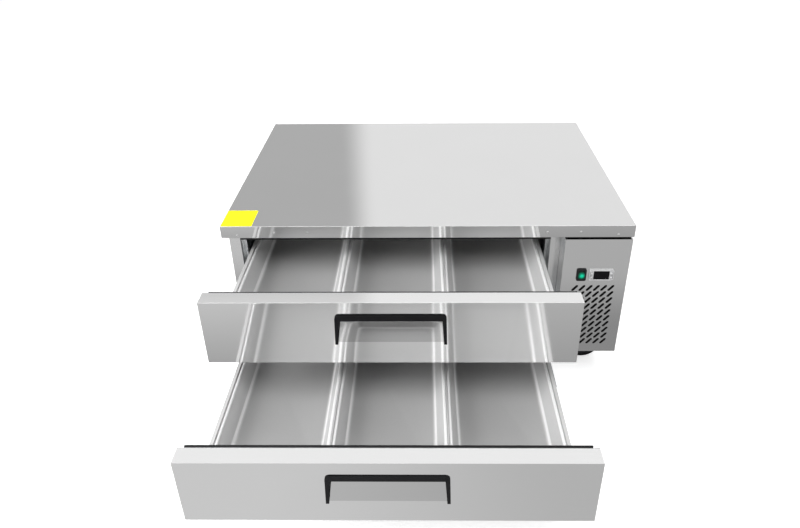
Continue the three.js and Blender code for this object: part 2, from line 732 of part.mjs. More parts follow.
/** The compressor: a two-part shell on a plate with four feet, and the stubs for its two lines. */
function compressorUnit() {
  const { height, shoulder, seam, y } = compressor;
  const radius = machineWidth / 2 - pipeLine.wallGap - pipeLine.radius - compressor.pipeGap - seam;
  const plate = [standLevel + compressor.footHeight, standLevel + compressor.footHeight + compressor.plateThickness];
  const [low, high] = [plate[1] - sheet, plate[1] + height];
  const middle = (low + high) / 2;
  const shell = turned(
    [
      [0, low], [radius - shoulder / 2, low], [radius, low + shoulder], [radius, middle - seam],
      [radius + seam, middle - seam], [radius + seam, middle], [radius, middle],
      [radius, high - 2 * shoulder], [radius - shoulder / 2, high - shoulder],
      [radius - 2 * shoulder, high - shoulder / 4], [0, high],
    ],
    sides.shell
  ).translate(machineMiddle, y, 0);
  const reach = radius + compressor.plateMargin - compressor.footRadius;
  const base = block(
    about(machineMiddle, 2 * reach),
    about(y, 2 * reach),
    plate
  );
  const feet = [[-1, -1], [1, -1], [1, 1], [-1, 1]].map(([sx, sy]) => {
    const place = [machineMiddle + sx * (reach - compressor.footRadius), y + sy * (reach - compressor.footRadius)];
    return upright(place, compressor.footRadius, [standLevel, plate[1]], sides.pin);
  });
  const stubZ = stubTop - compressor.stubRise;
  const stubs = [[leftPipeX, -1, pipeLine.radius], [rightPipeX, 1, coil.tubeRadius]].map(([x, side, r]) =>
    pipe(
      [[machineMiddle + side * (radius - shoulder / 2), y, stubZ], [x, y, stubZ], [x, y, stubTop]],
      { ...pipeLine, bend: coil.tubeRadius, radius: r }
    )
  );
  return join(shell, base, ...feet, ...stubs);
}

const evaporatorX = about(cavityMiddle, evaporator.width);
const evaporatorFanPlace = [cavityMiddle, (evaporatorZ[0] + evaporatorZ[1]) / 2];
const evaporatorFanRadius = evaporator.height / 2 - evaporator.rim;

/** The evaporator's housing on the back wall: open behind, with a fan hole and air ways at its ends. */
function evaporatorHousing() {
  const inside = [evaporatorY[0] + sheet, evaporatorY[1] + cutOverrun];
  const shell = cut(
    block(evaporatorX, evaporatorY, evaporatorZ),
    block(grow(evaporatorX, -sheet), inside, grow(evaporatorZ, -sheet)),
    block(grow(evaporatorX, cutOverrun), grow(evaporatorY, -evaporator.endMargin / 2), [
      evaporatorZ[1] - evaporator.endMargin - evaporator.endOpening,
      evaporatorZ[1] - evaporator.endMargin,
    ]),
    rodY(evaporatorFanPlace, evaporatorFanRadius + fan.tipClearance, about(evaporatorY[0], 2 * cutOverrun), sides.ring)
  );
  const half = evaporatorFanRadius + 2 * fan.tipClearance;
  return join(shell, ...motorStrap(evaporatorFanPlace, evaporatorY[0], half));
}

/** The evaporator and the suction line brazed to it, which runs to the compressor. */
function evaporatorCoil() {
  const back = cavityBack - evaporator.coilBack;
  const x = grow(evaporatorX, -evaporator.coilEnd);
  const [y, z] = suctionPlace;
  const suctionLine = pipe(
    [[x[1] - sheet, y, z], [leftPipeX, y, z], [leftPipeX, compressor.y, z], [leftPipeX, compressor.y, stubTop + seatGap]],
    { ...pipeLine, bend: pipeLine.wallGap }
  );
  const core = finnedCoil(x, [back - evaporator.coilDepth, back], evaporatorCoilZ);
  return join(core, suctionLine);
}

// Drawers, drawn closed

const frameHeight = frame.heightShare * openingHeight;
const cellY = [frameY[0] + frame.frontBar, frameY[1] - frame.rearBar];
const cellPitch = (frameX[1] - frameX[0] - 2 * frame.sideBar + frame.divider) / pan.count;
const cellsX = Array.from({ length: pan.count }, (_, i) => {
  const start = frameX[0] + frame.sideBar + i * cellPitch;
  return [start, start + cellPitch - frame.divider];
});

/** The pocket behind the handle: deep under the bar and flush at its foot, grown by a wall. */
function pocketWedge(x, top, wall, front) {
  const foot = top - handle.height + 2 * handle.pocketMargin;
  return alongX([[front, foot - wall], [handle.pocketDepth + wall, top + wall], [front, top + wall]], x);
}

/** A drawer front's places: its own span, and the handle pocket's. */
function frontPlaces(bottom) {
  const z = [bottom, bottom + frontHeight];
  const handleTop = z[1] - handle.drop;
  const middle = (frontX[0] + frontX[1]) / 2;
  return { z, handleTop, middle, pocketX: about(middle, handle.width - 2 * handle.pocketInset) };
}

/** The outer skin of a drawer front: a shell open at the back, with the handle's pocket pressed in. */
function frontSkin({ z, handleTop, pocketX }) {
  const top = handleTop - handle.pocketMargin;
  const shell = cut(
    block(frontX, [0, frontDepth], z),
    block(grow(frontX, -sheet), [sheet, frontDepth + cutOverrun], grow(z, -sheet))
  );
  const walls = pocketWedge(grow(pocketX, sheet), top, sheet, 0);
  return cut(join(shell, walls), pocketWedge(pocketX, top, 0, -sheet));
}

/** The foam core of a drawer front. */
function frontFoam({ z, handleTop, pocketX }) {
  const lining = sheet + seatGap;
  return cut(
    block(grow(frontX, -lining), [lining, frontDepth], grow(z, -lining)),
    pocketWedge(grow(pocketX, lining), handleTop - handle.pocketMargin, lining, 0)
  );
}

/** The inner face of a drawer front: a sheet with a raised middle that the drawer frame is fixed to. */
function frontLinerPlate({ z }) {
  const [x, high] = [grow(frontX, -frontLiner.inset), grow(z, -frontLiner.inset)];
  const back = linerPlateBack + frontLiner.raise;
  const raised = join(
    block(frontX, [linerPlateFront, linerPlateBack], z),
    block(x, [linerPlateFront, back], high)
  );
  return cut(raised, block(grow(x, -sheet), [linerPlateFront - cutOverrun, back - sheet], grow(high, -sheet)));
}

/** The seal round the inner face of a drawer front. */
function frontGasket({ z }) {
  const y = [linerPlateBack + seatGap, linerPlateBack + seatGap + gasket.depth];
  const [x, high] = [grow(frontX, -gasket.inset), grow(z, -gasket.topInset)];
  return cut(block(x, y, high), block(grow(x, -gasket.width), grow(y, cutOverrun), grow(high, -gasket.width)));
}

/** The handle: a bar with two tapering arms round the pocket, and the cheeks of the pocket. */
function handleTrim({ handleTop, middle, pocketX }) {
  const { width, height, corner, armTop, armBottom, splay, bar, proud, cheek, lip } = handle;
  const half = width / 2;
  const footHalf = half + splay;
  const [top, bottom] = [handleTop, handleTop - height];
  const corners = roundedPoints([middle, top - corner], width, 2 * corner, corner, 3);
  const face = alongY(
    [
      [middle + footHalf, bottom],
      ...corners.slice(0, corners.length / 2),
      [middle - footHalf, bottom],
      [middle - footHalf + armBottom, bottom],
      [middle - half + armTop, top - bar],
      [middle + half - armTop, top - bar],
      [middle + footHalf - armBottom, bottom],
    ],
    [-proud, -seatGap]
  );
  const pocketTop = top - handle.pocketMargin;
  const foot = top - height + 2 * handle.pocketMargin;
  const slope = handle.pocketDepth / (pocketTop - foot);
  const cheekDepth = handle.pocketDepth - 2 * cheek;
  const cheeks = [[pocketX[0], 1], [pocketX[1], -1]].map(([x, side]) =>
    alongX(
      [[-proud, foot + cheek], [cheekDepth, foot + cheekDepth / slope + 2 * cheek], [cheekDepth, pocketTop - seatGap],
        [-proud, pocketTop - seatGap]],
      between(x + side * seatGap, x + side * (seatGap + cheek))
    )
  );
  const gripLip = block(
    grow(pocketX, -seatGap),
    [-proud, lip],
    [top - bar, top - bar + cheek]
  );
  return join(face, ...cheeks, gripLip);
}

/** The section of a slide's member in (x, z): a channel with its web at one side and open at the other. */
function channel(open, web, middle, height) {
  const [low, high] = about(middle, height);
  const inner = web + Math.sign(open - web) * slide.wall;
  return [
    [open, high], [web, high], [web, low], [open, low],
    [open, low + slide.wall], [inner, low + slide.wall], [inner, high - slide.wall], [open, high - slide.wall],
  ];
}

const nest = slide.wall + slideGap;

/** The three nested members of one slide, beside a wall of the drawer's frame. */
function slideMembers(side, top) {
  const wall = side < 0 ? frameX[0] : frameX[1];
  const x = (distance) => wall + side * distance;
  const level = top - frameHeight + slide.rise + slide.height / 2;
  return {
    outer: alongY(channel(x(slide.openEdge), x(slide.depth), level, slide.height), slideY),
    middle: alongY(channel(x(slide.openEdge), x(slide.depth - nest), level, slide.height - 2 * nest), slideY),
    inner: alongY(channel(x(slide.depth - 2 * nest), x(-frame.sheet), level, slide.height - 4 * nest), slideY),
  };
}

/** The drawer's frame: a deck with one ledged cell for each pan, its walls and the slides' inner members. */
function drawerFrame(top) {
  const deck = [top - frame.ledgeDrop - frame.sheet, top];
  const skirts = cut(
    block(frameX, frameY, deck),
    block(grow(frameX, -frame.sheet), grow(frameY, -frame.sheet), [deck[0] - cutOverrun, top - frame.sheet])
  );
  const wells = cellsX.map((x) => block(grow(x, frame.sheet), grow(cellY, frame.sheet), deck));
  const walls = [
    block([frameX[0], frameX[0] + frame.sheet], frameY, [top - frameHeight, top]),
    block([frameX[1] - frame.sheet, frameX[1]], frameY, [top - frameHeight, top]),
    block(frameX, [frameY[0], frameY[0] + frame.sheet], [top - frameHeight, top]),
    block(frameX, [frameY[1] - frame.sheet, frameY[1]], [top - frame.rearHeightShare * frameHeight, top]),
  ];
  const footLevel = [top - frameHeight, top - frameHeight + frame.sheet];
  const feet = [
    block([frameX[0], frameX[0] + frame.footFlange], frameY, footLevel),
    block([frameX[1] - frame.footFlange, frameX[1]], frameY, footLevel),
  ];
  const members = [-1, 1].map((side) => slideMembers(side, top).inner);
  const seats = cellsX.map((x) => block(x, cellY, [top - frame.ledgeDrop, top + cutOverrun]));
  const holes = cellsX.map((x) =>
    block(grow(x, -frame.ledge), grow(cellY, -frame.ledge), grow(deck, cutOverrun))
  );
  return cut(join(skirts, ...wells, ...walls, ...feet, ...members), ...seats, ...holes);
}

/** A pressed food pan that hangs by its rim in a cell of the drawer's frame. */
function foodPan([x0, x1], top) {
  const { clearance, rim, edge, taper, fillet, corner, cornerShare, sheet: wall } = pan;
  const depth = pan.depthShare * frameHeight;
  const width = x1 - x0 - 2 * clearance;
  const length = cellY[1] - cellY[0] - 2 * clearance;
  const profile = [
    [rim + taper + fillet, wall - depth], [rim + taper, wall + fillet - depth], [rim, -edge], [rim - edge, 0],
    [edge / 2, 0], [0, -edge / 2], [0, -edge], [wall, -edge], [wall, -wall], [rim - edge - wall / 2, -wall],
    [rim - wall, -edge - wall / 2], [rim + taper - wall, fillet - depth], [rim + taper + fillet - wall, -depth],
  ];
  const rings = profile.map(([inset, height]) =>
    roundedPoints([0, 0], width - 2 * inset, length - 2 * inset, Math.max(corner - inset, cornerShare * corner), 2)
      .map(([a, b]) => [a, b, height])
  );
  const count = rings[0].length;
  const index = [];
  for (let ring = 0; ring + 1 < rings.length; ring++) {
    for (let i = 0; i < count; i++) {
      const [a, b] = [ring * count + i, ring * count + ((i + 1) % count)];
      index.push(a, b + count, b, a, a + count, b + count);
    }
  }
  const last = (rings.length - 1) * count;
  for (let i = 1; i + 1 < count; i++) {
    index.push(0, i, i + 1, last, last + i + 1, last + i);
  }
  const geometry = new THREE.BufferGeometry();
  geometry.setAttribute("position", new THREE.Float32BufferAttribute(rings.flat(2), 3));
  geometry.setIndex(index);
  const rimLevel = top - frame.ledgeDrop + seatGap + edge;
  return geometry.translate((x0 + x1) / 2, (cellY[0] + cellY[1]) / 2, rimLevel);
}

// Casters, drawn about their swivel axis with the wheel trailing to the right

const wheelRadius = (casterHeight - caster.forkRoom) / 2;

/** A caster's fork: the race under the plate, two legs, the axle and, with a brake, the brake's pin. */
function casterFork(braked) {
  const { trail, bossRadius, legThickness, legTop, axleRadius, axleHeadRadius } = caster;
  const inside = caster.wheelWidth / 2 + caster.legGap;
  const race = cut(
    upright([0, 0], caster.raceRadius, [raceBottom, raceTop], sides.ring),
    upright([0, 0], caster.pinRadius + seatGap, grow([raceBottom, raceTop], cutOverrun))
  );
  const foot = [-Math.PI / 6, -Math.PI / 2, (-5 * Math.PI) / 6].map((angle) => [
    trail + bossRadius * Math.cos(angle),
    wheelRadius + bossRadius * Math.sin(angle),
  ]);
  const legShape = [
    [-legTop, raceBottom + seatGap], [-legTop, raceBottom - bossRadius], [trail - bossRadius, wheelRadius],
    ...foot.reverse(), [trail + bossRadius, wheelRadius], [legTop + axleHeadRadius, raceBottom - bossRadius],
    [legTop, raceBottom + seatGap],
  ];
  const legs = [-1, 1].map((side) => alongY(legShape, between(side * inside, side * (inside + legThickness))));
  const outside = inside + legThickness;
  const axle = [
    rodY([trail, wheelRadius], axleRadius, [-outside, outside]),
    rodY([trail, wheelRadius], axleHeadRadius, [-outside - caster.axleHead, -outside + seatGap], sides.bolt),
    rodY([trail, wheelRadius], axleHeadRadius, [outside - seatGap, outside + caster.axleHead], sides.bolt),
  ];
  const brakePin = rodY([brake.x, raceTop - brake.drop], brake.pinRadius, [-outside, outside], sides.pin);
  return join(race, ...legs, ...axle, ...(braked ? [brakePin] : []));
}

/** A caster's wheel, with a flat side of its tread on the floor. */
function casterWheel() {
  const { wheelWidth, hubRadius, hubInset, rimDepth, webInset, treadDepth, treadChamfer } = caster;
  const half = wheelWidth / 2;
  const tread = wheelRadius / Math.cos(Math.PI / sides.wheel);
  const bore = caster.axleRadius + slideGap;
  const rightSide = [
    [tread, half - treadChamfer], [wheelRadius - treadDepth, half], [wheelRadius - rimDepth, half - webInset],
    [hubRadius, half - hubInset], [bore, half - hubInset],
  ];
  const leftSide = rightSide.map(([r, h]) => [r, -h]).reverse();
  const wheel = turned([...leftSide, ...rightSide, leftSide[0]], sides.wheel);
  return wheel.rotateX(Math.PI / 2).rotateY(Math.PI / sides.wheel).translate(caster.trail, 0, wheelRadius);
}

/** A caster's brake: a bent pedal over the wheel, turning on a pin between the legs. */
function brakeLever() {
  const z = raceTop - brake.drop;
  const half = caster.wheelWidth / 2 + caster.legGap - brake.sideClearance;
  const { x, reach, kneeReach, kneeDrop, tipDrop, thickness, hubRadius } = brake;
  const pedal = alongY(
    [
      [x, z + thickness], [x + kneeReach, z + thickness - kneeDrop], [x + reach, z + thickness - tipDrop],
      [x + reach, z - tipDrop], [x + kneeReach, z - kneeDrop], [x, z],
    ],
    [-half, half]
  );
  const hub = rodY([x, z], hubRadius, [-half, half]);
  return cut(join(pedal, hub), rodY([x, z], brake.pinRadius + seatGap, grow([-half, half], cutOverrun), sides.pin));
}

// Assembly

const chefBase = new THREE.Group();
chefBase.position.y = originShift;
add(chefBase, "worktop", worktop(), brightSteel);
add(chefBase, "left_side_panel", sidePanel(-1, wallFront), steel);
add(chefBase, "right_side_panel", sidePanel(1, topSheet + seatGap), steel);
add(chefBase, "back_panel", backPanel(), zincSteel);
add(chefBase, "cord_gland", cordGland(), blackPlastic);
add(chefBase, "base_panel", basePanel(), zincSteel);
add(chefBase, "cabinet_insulation", cabinetInsulation(), foam);
add(chefBase, "inner_liner", innerLiner(), brightSteel);
add(chefBase, "face_frame", faceFrame(), steel);
add(chefBase, "machine_panel", machinePanel(), steel);
add(chefBase, "controller_bezel", controllerCase(), greyPlastic);
buttonPlaces.forEach(({ name, place }) => add(chefBase, name, controllerButton(place), greyPlastic));
add(chefBase, "switch_housing", switchHousing(), blackPlastic);
add(chefBase, "switch_rocker", switchRocker(), greenPlastic);
add(chefBase, "compressor", compressorUnit(), blackPaint);
add(chefBase, "condenser_coil", condenserCoil(), aluminium);
add(chefBase, "condenser_fan_mount", condenserFanMount(), zincSteel);
add(chefBase, "condenser_fan", fanRotor(condenserFanPlace, condenserFanY, condenserFanRadius), blackPlastic);
add(chefBase, "evaporator_housing", evaporatorHousing(), aluminium);
add(chefBase, "evaporator_coil", evaporatorCoil(), aluminium);
add(chefBase, "evaporator_fan", fanRotor(evaporatorFanPlace, evaporatorY[0], evaporatorFanRadius), blackPlastic);

const drawers = [
  { name: "upper", bottom: mullionMiddle + frontMidGap / 2, open: upperDrawerOpen },
  { name: "lower", bottom: frontsFoot, open: lowerDrawerOpen },
];
const panNames = ["left", "middle", "right"];
drawers.forEach(({ name, bottom, open }) => {
  const drawer = new THREE.Group();
  drawer.position.y = -open;
  const places = frontPlaces(bottom);
  const top = bottom - frontFootGap + floorThickness + frame.footClearance + frameHeight;
  add(drawer, `${name}_front_skin`, frontSkin(places), steel);
  add(drawer, `${name}_front_foam`, frontFoam(places), foam);
  add(drawer, `${name}_front_liner`, frontLinerPlate(places), brightSteel);
  add(drawer, `${name}_gasket`, frontGasket(places), rubber);
  add(drawer, `${name}_handle`, handleTrim(places), blackPlastic);
  add(drawer, `${name}_drawer_frame`, drawerFrame(top), brightSteel);
  cellsX.forEach((x, i) => add(drawer, `${name}_${panNames[i]}_pan`, foodPan(x, top), brightSteel));
  const travelling = new THREE.Group();
  travelling.position.y = -open / 2;
  [-1, 1].forEach((side) => {
    const sideName = side < 0 ? "left" : "right";
    const { outer, middle } = slideMembers(side, top);
    add(chefBase, `${name}_${sideName}_slide_outer`, outer, zincSteel);
    add(travelling, `${name}_${sideName}_slide_middle`, middle, zincSteel);
  });
  chefBase.add(drawer, travelling);
});

casterPlaces.forEach(({ name, x, y, braked }) => {
  const group = new THREE.Group();
  group.position.set(x, y, 0);
  add(group, `${name}_fork`, casterFork(braked), zincSteel);
  add(group, `${name}_wheel`, casterWheel(), rubber);
  if (braked) {
    add(group, `${name}_brake_lever`, brakeLever(), rubber);
  }
  chefBase.add(group);
});

export default chefBase;
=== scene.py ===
"""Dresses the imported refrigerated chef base: finishes, folds, seals, pans, wheels, screws and studio."""

from __future__ import annotations

import logging
import math
from dataclasses import dataclass
from enum import Enum

import bmesh
import bpy
from mathutils import Matrix, Vector

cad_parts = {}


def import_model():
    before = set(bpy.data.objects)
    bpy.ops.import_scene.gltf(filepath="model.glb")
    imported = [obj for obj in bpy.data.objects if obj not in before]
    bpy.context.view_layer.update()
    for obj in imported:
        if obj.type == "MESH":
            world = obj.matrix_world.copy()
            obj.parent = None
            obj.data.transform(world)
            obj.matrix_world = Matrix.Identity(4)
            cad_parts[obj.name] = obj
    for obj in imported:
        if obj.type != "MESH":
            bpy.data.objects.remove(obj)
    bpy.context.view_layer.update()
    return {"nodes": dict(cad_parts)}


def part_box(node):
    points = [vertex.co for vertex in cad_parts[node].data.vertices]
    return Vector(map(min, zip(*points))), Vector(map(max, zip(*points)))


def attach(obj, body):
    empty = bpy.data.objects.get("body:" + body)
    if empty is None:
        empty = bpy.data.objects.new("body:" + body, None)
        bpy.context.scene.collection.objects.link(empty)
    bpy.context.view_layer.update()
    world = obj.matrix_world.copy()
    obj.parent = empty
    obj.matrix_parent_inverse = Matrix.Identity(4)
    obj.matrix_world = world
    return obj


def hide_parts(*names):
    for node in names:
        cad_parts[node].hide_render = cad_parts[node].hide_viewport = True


LOG = logging.getLogger("chef_base")
MM = 0.001
SEAM = 0.001 * MM
FINE_STEPS = 3
WHITE = (1.0, 1.0, 1.0, 1.0)
Pair = tuple[float, float]
Tints = tuple[Pair, ...]
Colour = tuple[float, float, float]
Point = tuple[float, float, float]
Socket = bpy.types.NodeSocket


class Grain(Enum):
    """Which way a sheet's brushing runs, as the scale of its lines on each axis."""

    ALONG_X = (1.0, 70.0, 70.0)
    ALONG_Z = (70.0, 70.0, 1.0)


class Axis(Enum):
    """The axis that a turned form turns about, as the rotation from the z axis."""

    X = (0.0, math.pi / 2, 0.0)
    Y = (math.pi / 2, 0.0, 0.0)
    Z = (0.0, 0.0, 0.0)

    def rotation(self) -> Matrix:
        """The rotation that takes the z axis to this one."""
        x, y, z = self.value
        return Matrix.Rotation(z, 4, "Z") @ Matrix.Rotation(y, 4, "Y") @ Matrix.Rotation(x, 4, "X")


class Tier(Enum):
    """The two drawers."""

    UPPER = "upper"
    LOWER = "lower"


class PanPlace(Enum):
    """The three pans of a drawer."""

    LEFT = "left"
    MIDDLE = "middle"
    RIGHT = "right"


class Corner(Enum):
    """The four casters."""

    FRONT_LEFT = "front_left"
    FRONT_RIGHT = "front_right"
    REAR_LEFT = "rear_left"
    REAR_RIGHT = "rear_right"


@dataclass(frozen=True)
class Noise:
    """How often a noise turns for each metre, how many finer layers it has and how strong they are."""

    scale: float
    detail: float
    roughness: float


class Graph:
    """A node tree under construction, with short calls for the nodes that finishes and studio share."""

    def __init__(self, tree: bpy.types.NodeTree) -> None:
        """Takes up a node tree."""
        self.tree = tree

    def feed(self, end: Socket, value: object) -> None:
        """Joins a socket to an input, or sets the input's own value.

        Args:
            end: The input.
            value: The socket or the value.
        """
        if isinstance(value, Socket):
            self.tree.links.new(value, end)
        else:
            end.default_value = value

    def add(self, kind: str, output: str, inputs: dict[str | int, object], **settings: str) -> Socket:
        """Adds one node.

        Args:
            kind: The node's type, without its first word.
            output: The name of the output wanted.
            inputs: The socket or value that each input gets.
            settings: The node's own settings, made before its inputs are fed.

        Returns:
            The socket of that output.
        """
        node = self.tree.nodes.new(f"ShaderNode{kind}")
        for name, value in settings.items():
            setattr(node, name, value)
        for name, value in inputs.items():
            self.feed(node.inputs[name], value)
        return node.outputs[output]

    def part(self, vector: Socket, axis: str) -> Socket:
        """One part of a vector."""
        return self.add("SeparateXYZ", axis, {"Vector": vector})

    def greater(self, first: Socket, second: Socket) -> Socket:
        """The greater of two values."""
        return self.add("Math", "Value", {0: first, 1: second}, operation="MAXIMUM")

    def ray(self, kind: str) -> Socket:
        """One for rays of one kind, and nought for all others."""
        return self.add("LightPath", f"Is {kind} Ray", {})

    def show(self, output: str, shader: Socket) -> None:
        """Joins a shader to the tree's output node."""
        self.feed(self.tree.nodes[output].inputs["Surface"], shader)


class Surface(Graph):
    """A material's tree round one principled shader."""

    def __init__(self, name: str, colour: Colour, roughness: float) -> None:
        """Starts the material.

        Args:
            name: The material's name.
            colour: The shader's base colour.
            roughness: The shader's roughness.
        """
        self.material = bpy.data.materials.new(name)
        self.material.use_nodes = True
        super().__init__(self.material.node_tree)
        self.shader = self.tree.nodes["Principled BSDF"]
        self.give("Base Color", (*colour, 1.0))
        self.give("Roughness", roughness)
        self.place = self.add("TexCoord", "Object", {})
        self.normal: Socket | None = None

    def give(self, name: str, value: object) -> None:
        """Feeds one of the shader's inputs."""
        self.feed(self.shader.inputs[name], value)

    def scaled(self, scale: Point) -> Socket:
        """The object's coordinates at a scale of their own on each axis."""
        return self.add("Mapping", "Vector", {"Scale": scale, "Vector": self.place})

    def noise(self, vector: Socket, kind: Noise) -> Socket:
        """A noise value over the given coordinates."""
        inputs = {"Scale": kind.scale, "Detail": kind.detail, "Roughness": kind.roughness}
        return self.add("TexNoise", "Fac", {"Vector": vector, **inputs})

    def cells(self, scale: float, output: str) -> Socket:
        """A pattern of cells, such as spangle or foam, with so many to a metre."""
        return self.add("TexVoronoi", output, {"Scale": scale, "Vector": self.place})

    def ramp(self, factor: Socket, stops: list[tuple[float, Colour]]) -> Socket:
        """Colours picked by a factor.

        Args:
            factor: The socket of the factor.
            stops: The places and colours of the ramp, in rising order.

        Returns:
            The socket of the colour.
        """
        shown = self.add("ValToRGB", "Color", {"Fac": factor})
        elements = shown.node.color_ramp.elements
        for element, (position, colour) in zip(elements, (stops[0], stops[-1])):
            element.position, element.color = position, (*colour, 1.0)
        for position, colour in stops[1:-1]:
            elements.new(position).color = (*colour, 1.0)
        return shown

    def span(self, value: Socket, low: float, high: float) -> Socket:
        """A value from nought to one spread between two others."""
        return self.add("MapRange", "Result", {"Value": value, "To Min": low, "To Max": high})

    def within(self, value: Socket, low: float, high: float) -> Socket:
        """Where a value lies between two others, from nought to one."""
        return self.add("MapRange", "Result", {"Value": value, "From Min": low, "From Max": high})

    def sum(self, first: Socket, second: Socket, share: float) -> Socket:
        """One value with a share of another added."""
        return self.add("Math", "Value", {0: second, 1: share, 2: first}, operation="MULTIPLY_ADD")

    def near(self, value: Socket, middle: float, spread: float) -> Socket:
        """One where a value is near the middle, and nought elsewhere."""
        return self.add("Math", "Value", {0: value, 1: middle, 2: spread}, operation="COMPARE")

    def sloping(self, slope: Pair) -> Socket:
        """One on faces whose normal rises so far, give or take the second number, and nought elsewhere."""
        return self.near(self.part(self.add("NewGeometry", "True Normal", {}), "Z"), *slope)

    def mixed(self, factor: object, first: object, second: object, blend: str = "MIX") -> Socket:
        """A colour with a second one laid over it.

        Args:
            factor: The second colour's share, as a socket or a value.
            first: The first colour, as a socket or a value.
            second: The second colour, as a socket or a value.
            blend: How it is laid over.

        Returns:
            The socket of the mixed colour.
        """
        inputs = {"Factor": factor, "A": first, "B": second}
        return self.add("Mix", "Result", inputs, data_type="RGBA", blend_type=blend)

    def relief(self, height: Socket, depth: float) -> None:
        """Gives the surface a relief, on top of any that it already has.

        Args:
            height: The socket of the height, from nought to one.
            depth: The relief's depth in metres.
        """
        inputs = {"Strength": 1.0, "Distance": depth, "Height": height}
        if self.normal is not None:
            inputs["Normal"] = self.normal
        self.normal = self.add("Bump", "Normal", inputs)
        self.give("Normal", self.normal)


def grey(level: float) -> Colour:
    """A neutral colour."""
    return (level, level, level)


def tinted(colour: Colour, factor: float) -> Colour:
    """A colour made lighter or darker by a factor."""
    return (colour[0] * factor, colour[1] * factor, colour[2] * factor)


@dataclass(frozen=True)
class Finish:
    """What every finish has: a name, a colour and a roughness."""

    name: str
    colour: Colour
    roughness: float

    def make(self) -> bpy.types.Material:
        """Builds the material, or gives the one already built.

        Returns:
            The material.
        """
        known = bpy.data.materials.get(self.name)
        if known is not None:
            return known
        surface = Surface(self.name, self.colour, self.roughness)
        self.cover(surface)
        return surface.material

    def cover(self, surface: Surface) -> None:
        """Draws the finish on its surface; each kind has its own way."""
        raise NotImplementedError

    def tint(self, surface: Surface, mark: Socket, stops: Tints) -> None:
        """Paints the surface in tints of its colour.

        Args:
            surface: The surface.
            mark: The socket that picks the tint.
            stops: Pairs of the mark's value and the tint's factor.
        """
        surface.give("Base Color", surface.ramp(mark, [(at, tinted(self.colour, by)) for at, by in stops]))

    def wear(self, surface: Surface, mark: Socket, less: float, more: float) -> None:
        """Spreads the roughness about its own value.

        Args:
            surface: The surface.
            mark: The socket that picks the roughness.
            less: How far it falls.
            more: How far it rises.
        """
        surface.give("Roughness", surface.span(mark, self.roughness - less, self.roughness + more))


@dataclass(frozen=True)
class BrushedSteel(Finish):
    """Stainless sheet with fine brushing lines, a little waviness and faint smudges.

    The bow is how far the sheen of upright faces tips downward, as a folded sheet's does, and the shade is
    how dark the painted shade in a pocket pressed into the sheet is. The edge is how far the outer folds
    turn from metal to a white painted highlight.
    """

    grain: Grain = Grain.ALONG_X
    line_pitch: float = 1.6 * MM
    line_depth: float = 0.004 * MM
    tone: float = 0.025
    smudge: float = 0.05
    bow: float = 0.0
    shade: float = 1.0
    edge: float = 0.0
    line_span: Pair = (0.25, 0.75)
    tone_span: Pair = (0.25, 0.85)
    smudge_share: float = 0.35
    smudges: Noise = Noise(4.5, 4.0, 0.6)
    pocket_slope: Pair = (0.3, 0.2)
    fold_slope: Pair = (0.75, 0.22)

    def cover(self, surface: Surface) -> None:
        """Draws the lines and smudges, the painted shade in the pocket, the painted highlight on the outer
        folds and the bow.

        Args:
            surface: The surface.
        """
        surface.give("Metallic", 1.0)
        across = max(self.grain.value)
        brushing = Noise(1.0 / (self.line_pitch * across), 3.0, 0.7)
        lines = surface.noise(surface.scaled(self.grain.value), brushing)
        marks = surface.noise(surface.place, self.smudges)
        tone = surface.sum(surface.span(lines, *self.line_span), marks, self.smudge_share)
        tints = zip(self.tone_span, (1 - self.tone, 1 + self.tone))
        colour = surface.ramp(tone, [(at, tinted(self.colour, by)) for at, by in tints])
        # Painted shade: faces that slope a little upward, as the pocket's do, are darkened to the shade's
        # grey.
        if self.shade < 1:
            greys = [(0.0, grey(1.0)), (1.0, grey(self.shade))]
            pocket = surface.ramp(surface.sloping(self.pocket_slope), greys)
            colour = surface.mixed(1.0, colour, pocket, "MULTIPLY")
        # Painted highlight: the outer folds are laid over with white and made less metallic.
        if self.edge > 0:
            fold_highlight = surface.sloping(self.fold_slope)
            colour = surface.mixed(fold_highlight, colour, WHITE)
            surface.give("Metallic", surface.span(fold_highlight, 1.0, 1.0 - self.edge))
        surface.give("Base Color", colour)
        worn = surface.span(marks, self.roughness - self.smudge, self.roughness + self.smudge)
        surface.give("Roughness", surface.sum(worn, lines, self.smudge))
        surface.relief(lines, self.line_depth)
        if self.bow > 0:
            surface.relief(surface.part(surface.place, "Z"), self.bow)


@dataclass(frozen=True)
class PressedSteel(Finish):
    """Satin drawn stainless: no brushing, a soft ripple from the press and faint scuffs."""

    ripple: float = 0.05 * MM
    metal: float = 1.0
    swell: Noise = Noise(14.0, 2.0, 0.4)
    scuffs: Noise = Noise(160.0, 4.0, 0.7)
    scuff_stretch: Point = (1.0, 6.0, 1.0)
    tints: Tints = ((0.3, 0.95), (0.7, 1.03))
    worn: Pair = (0.05, 0.07)

    def coat(self, surface: Surface, scuffs: Socket) -> None:
        """Paints the scuffs."""
        self.tint(surface, scuffs, self.tints)

    def cover(self, surface: Surface) -> None:
        """Draws the scuffs and the ripple.

        Args:
            surface: The surface.
        """
        surface.give("Metallic", self.metal)
        swell = surface.noise(surface.place, self.swell)
        scuffs = surface.noise(surface.scaled(self.scuff_stretch), self.scuffs)
        self.coat(surface, scuffs)
        self.wear(surface, scuffs, *self.worn)
        surface.relief(swell, self.ripple)


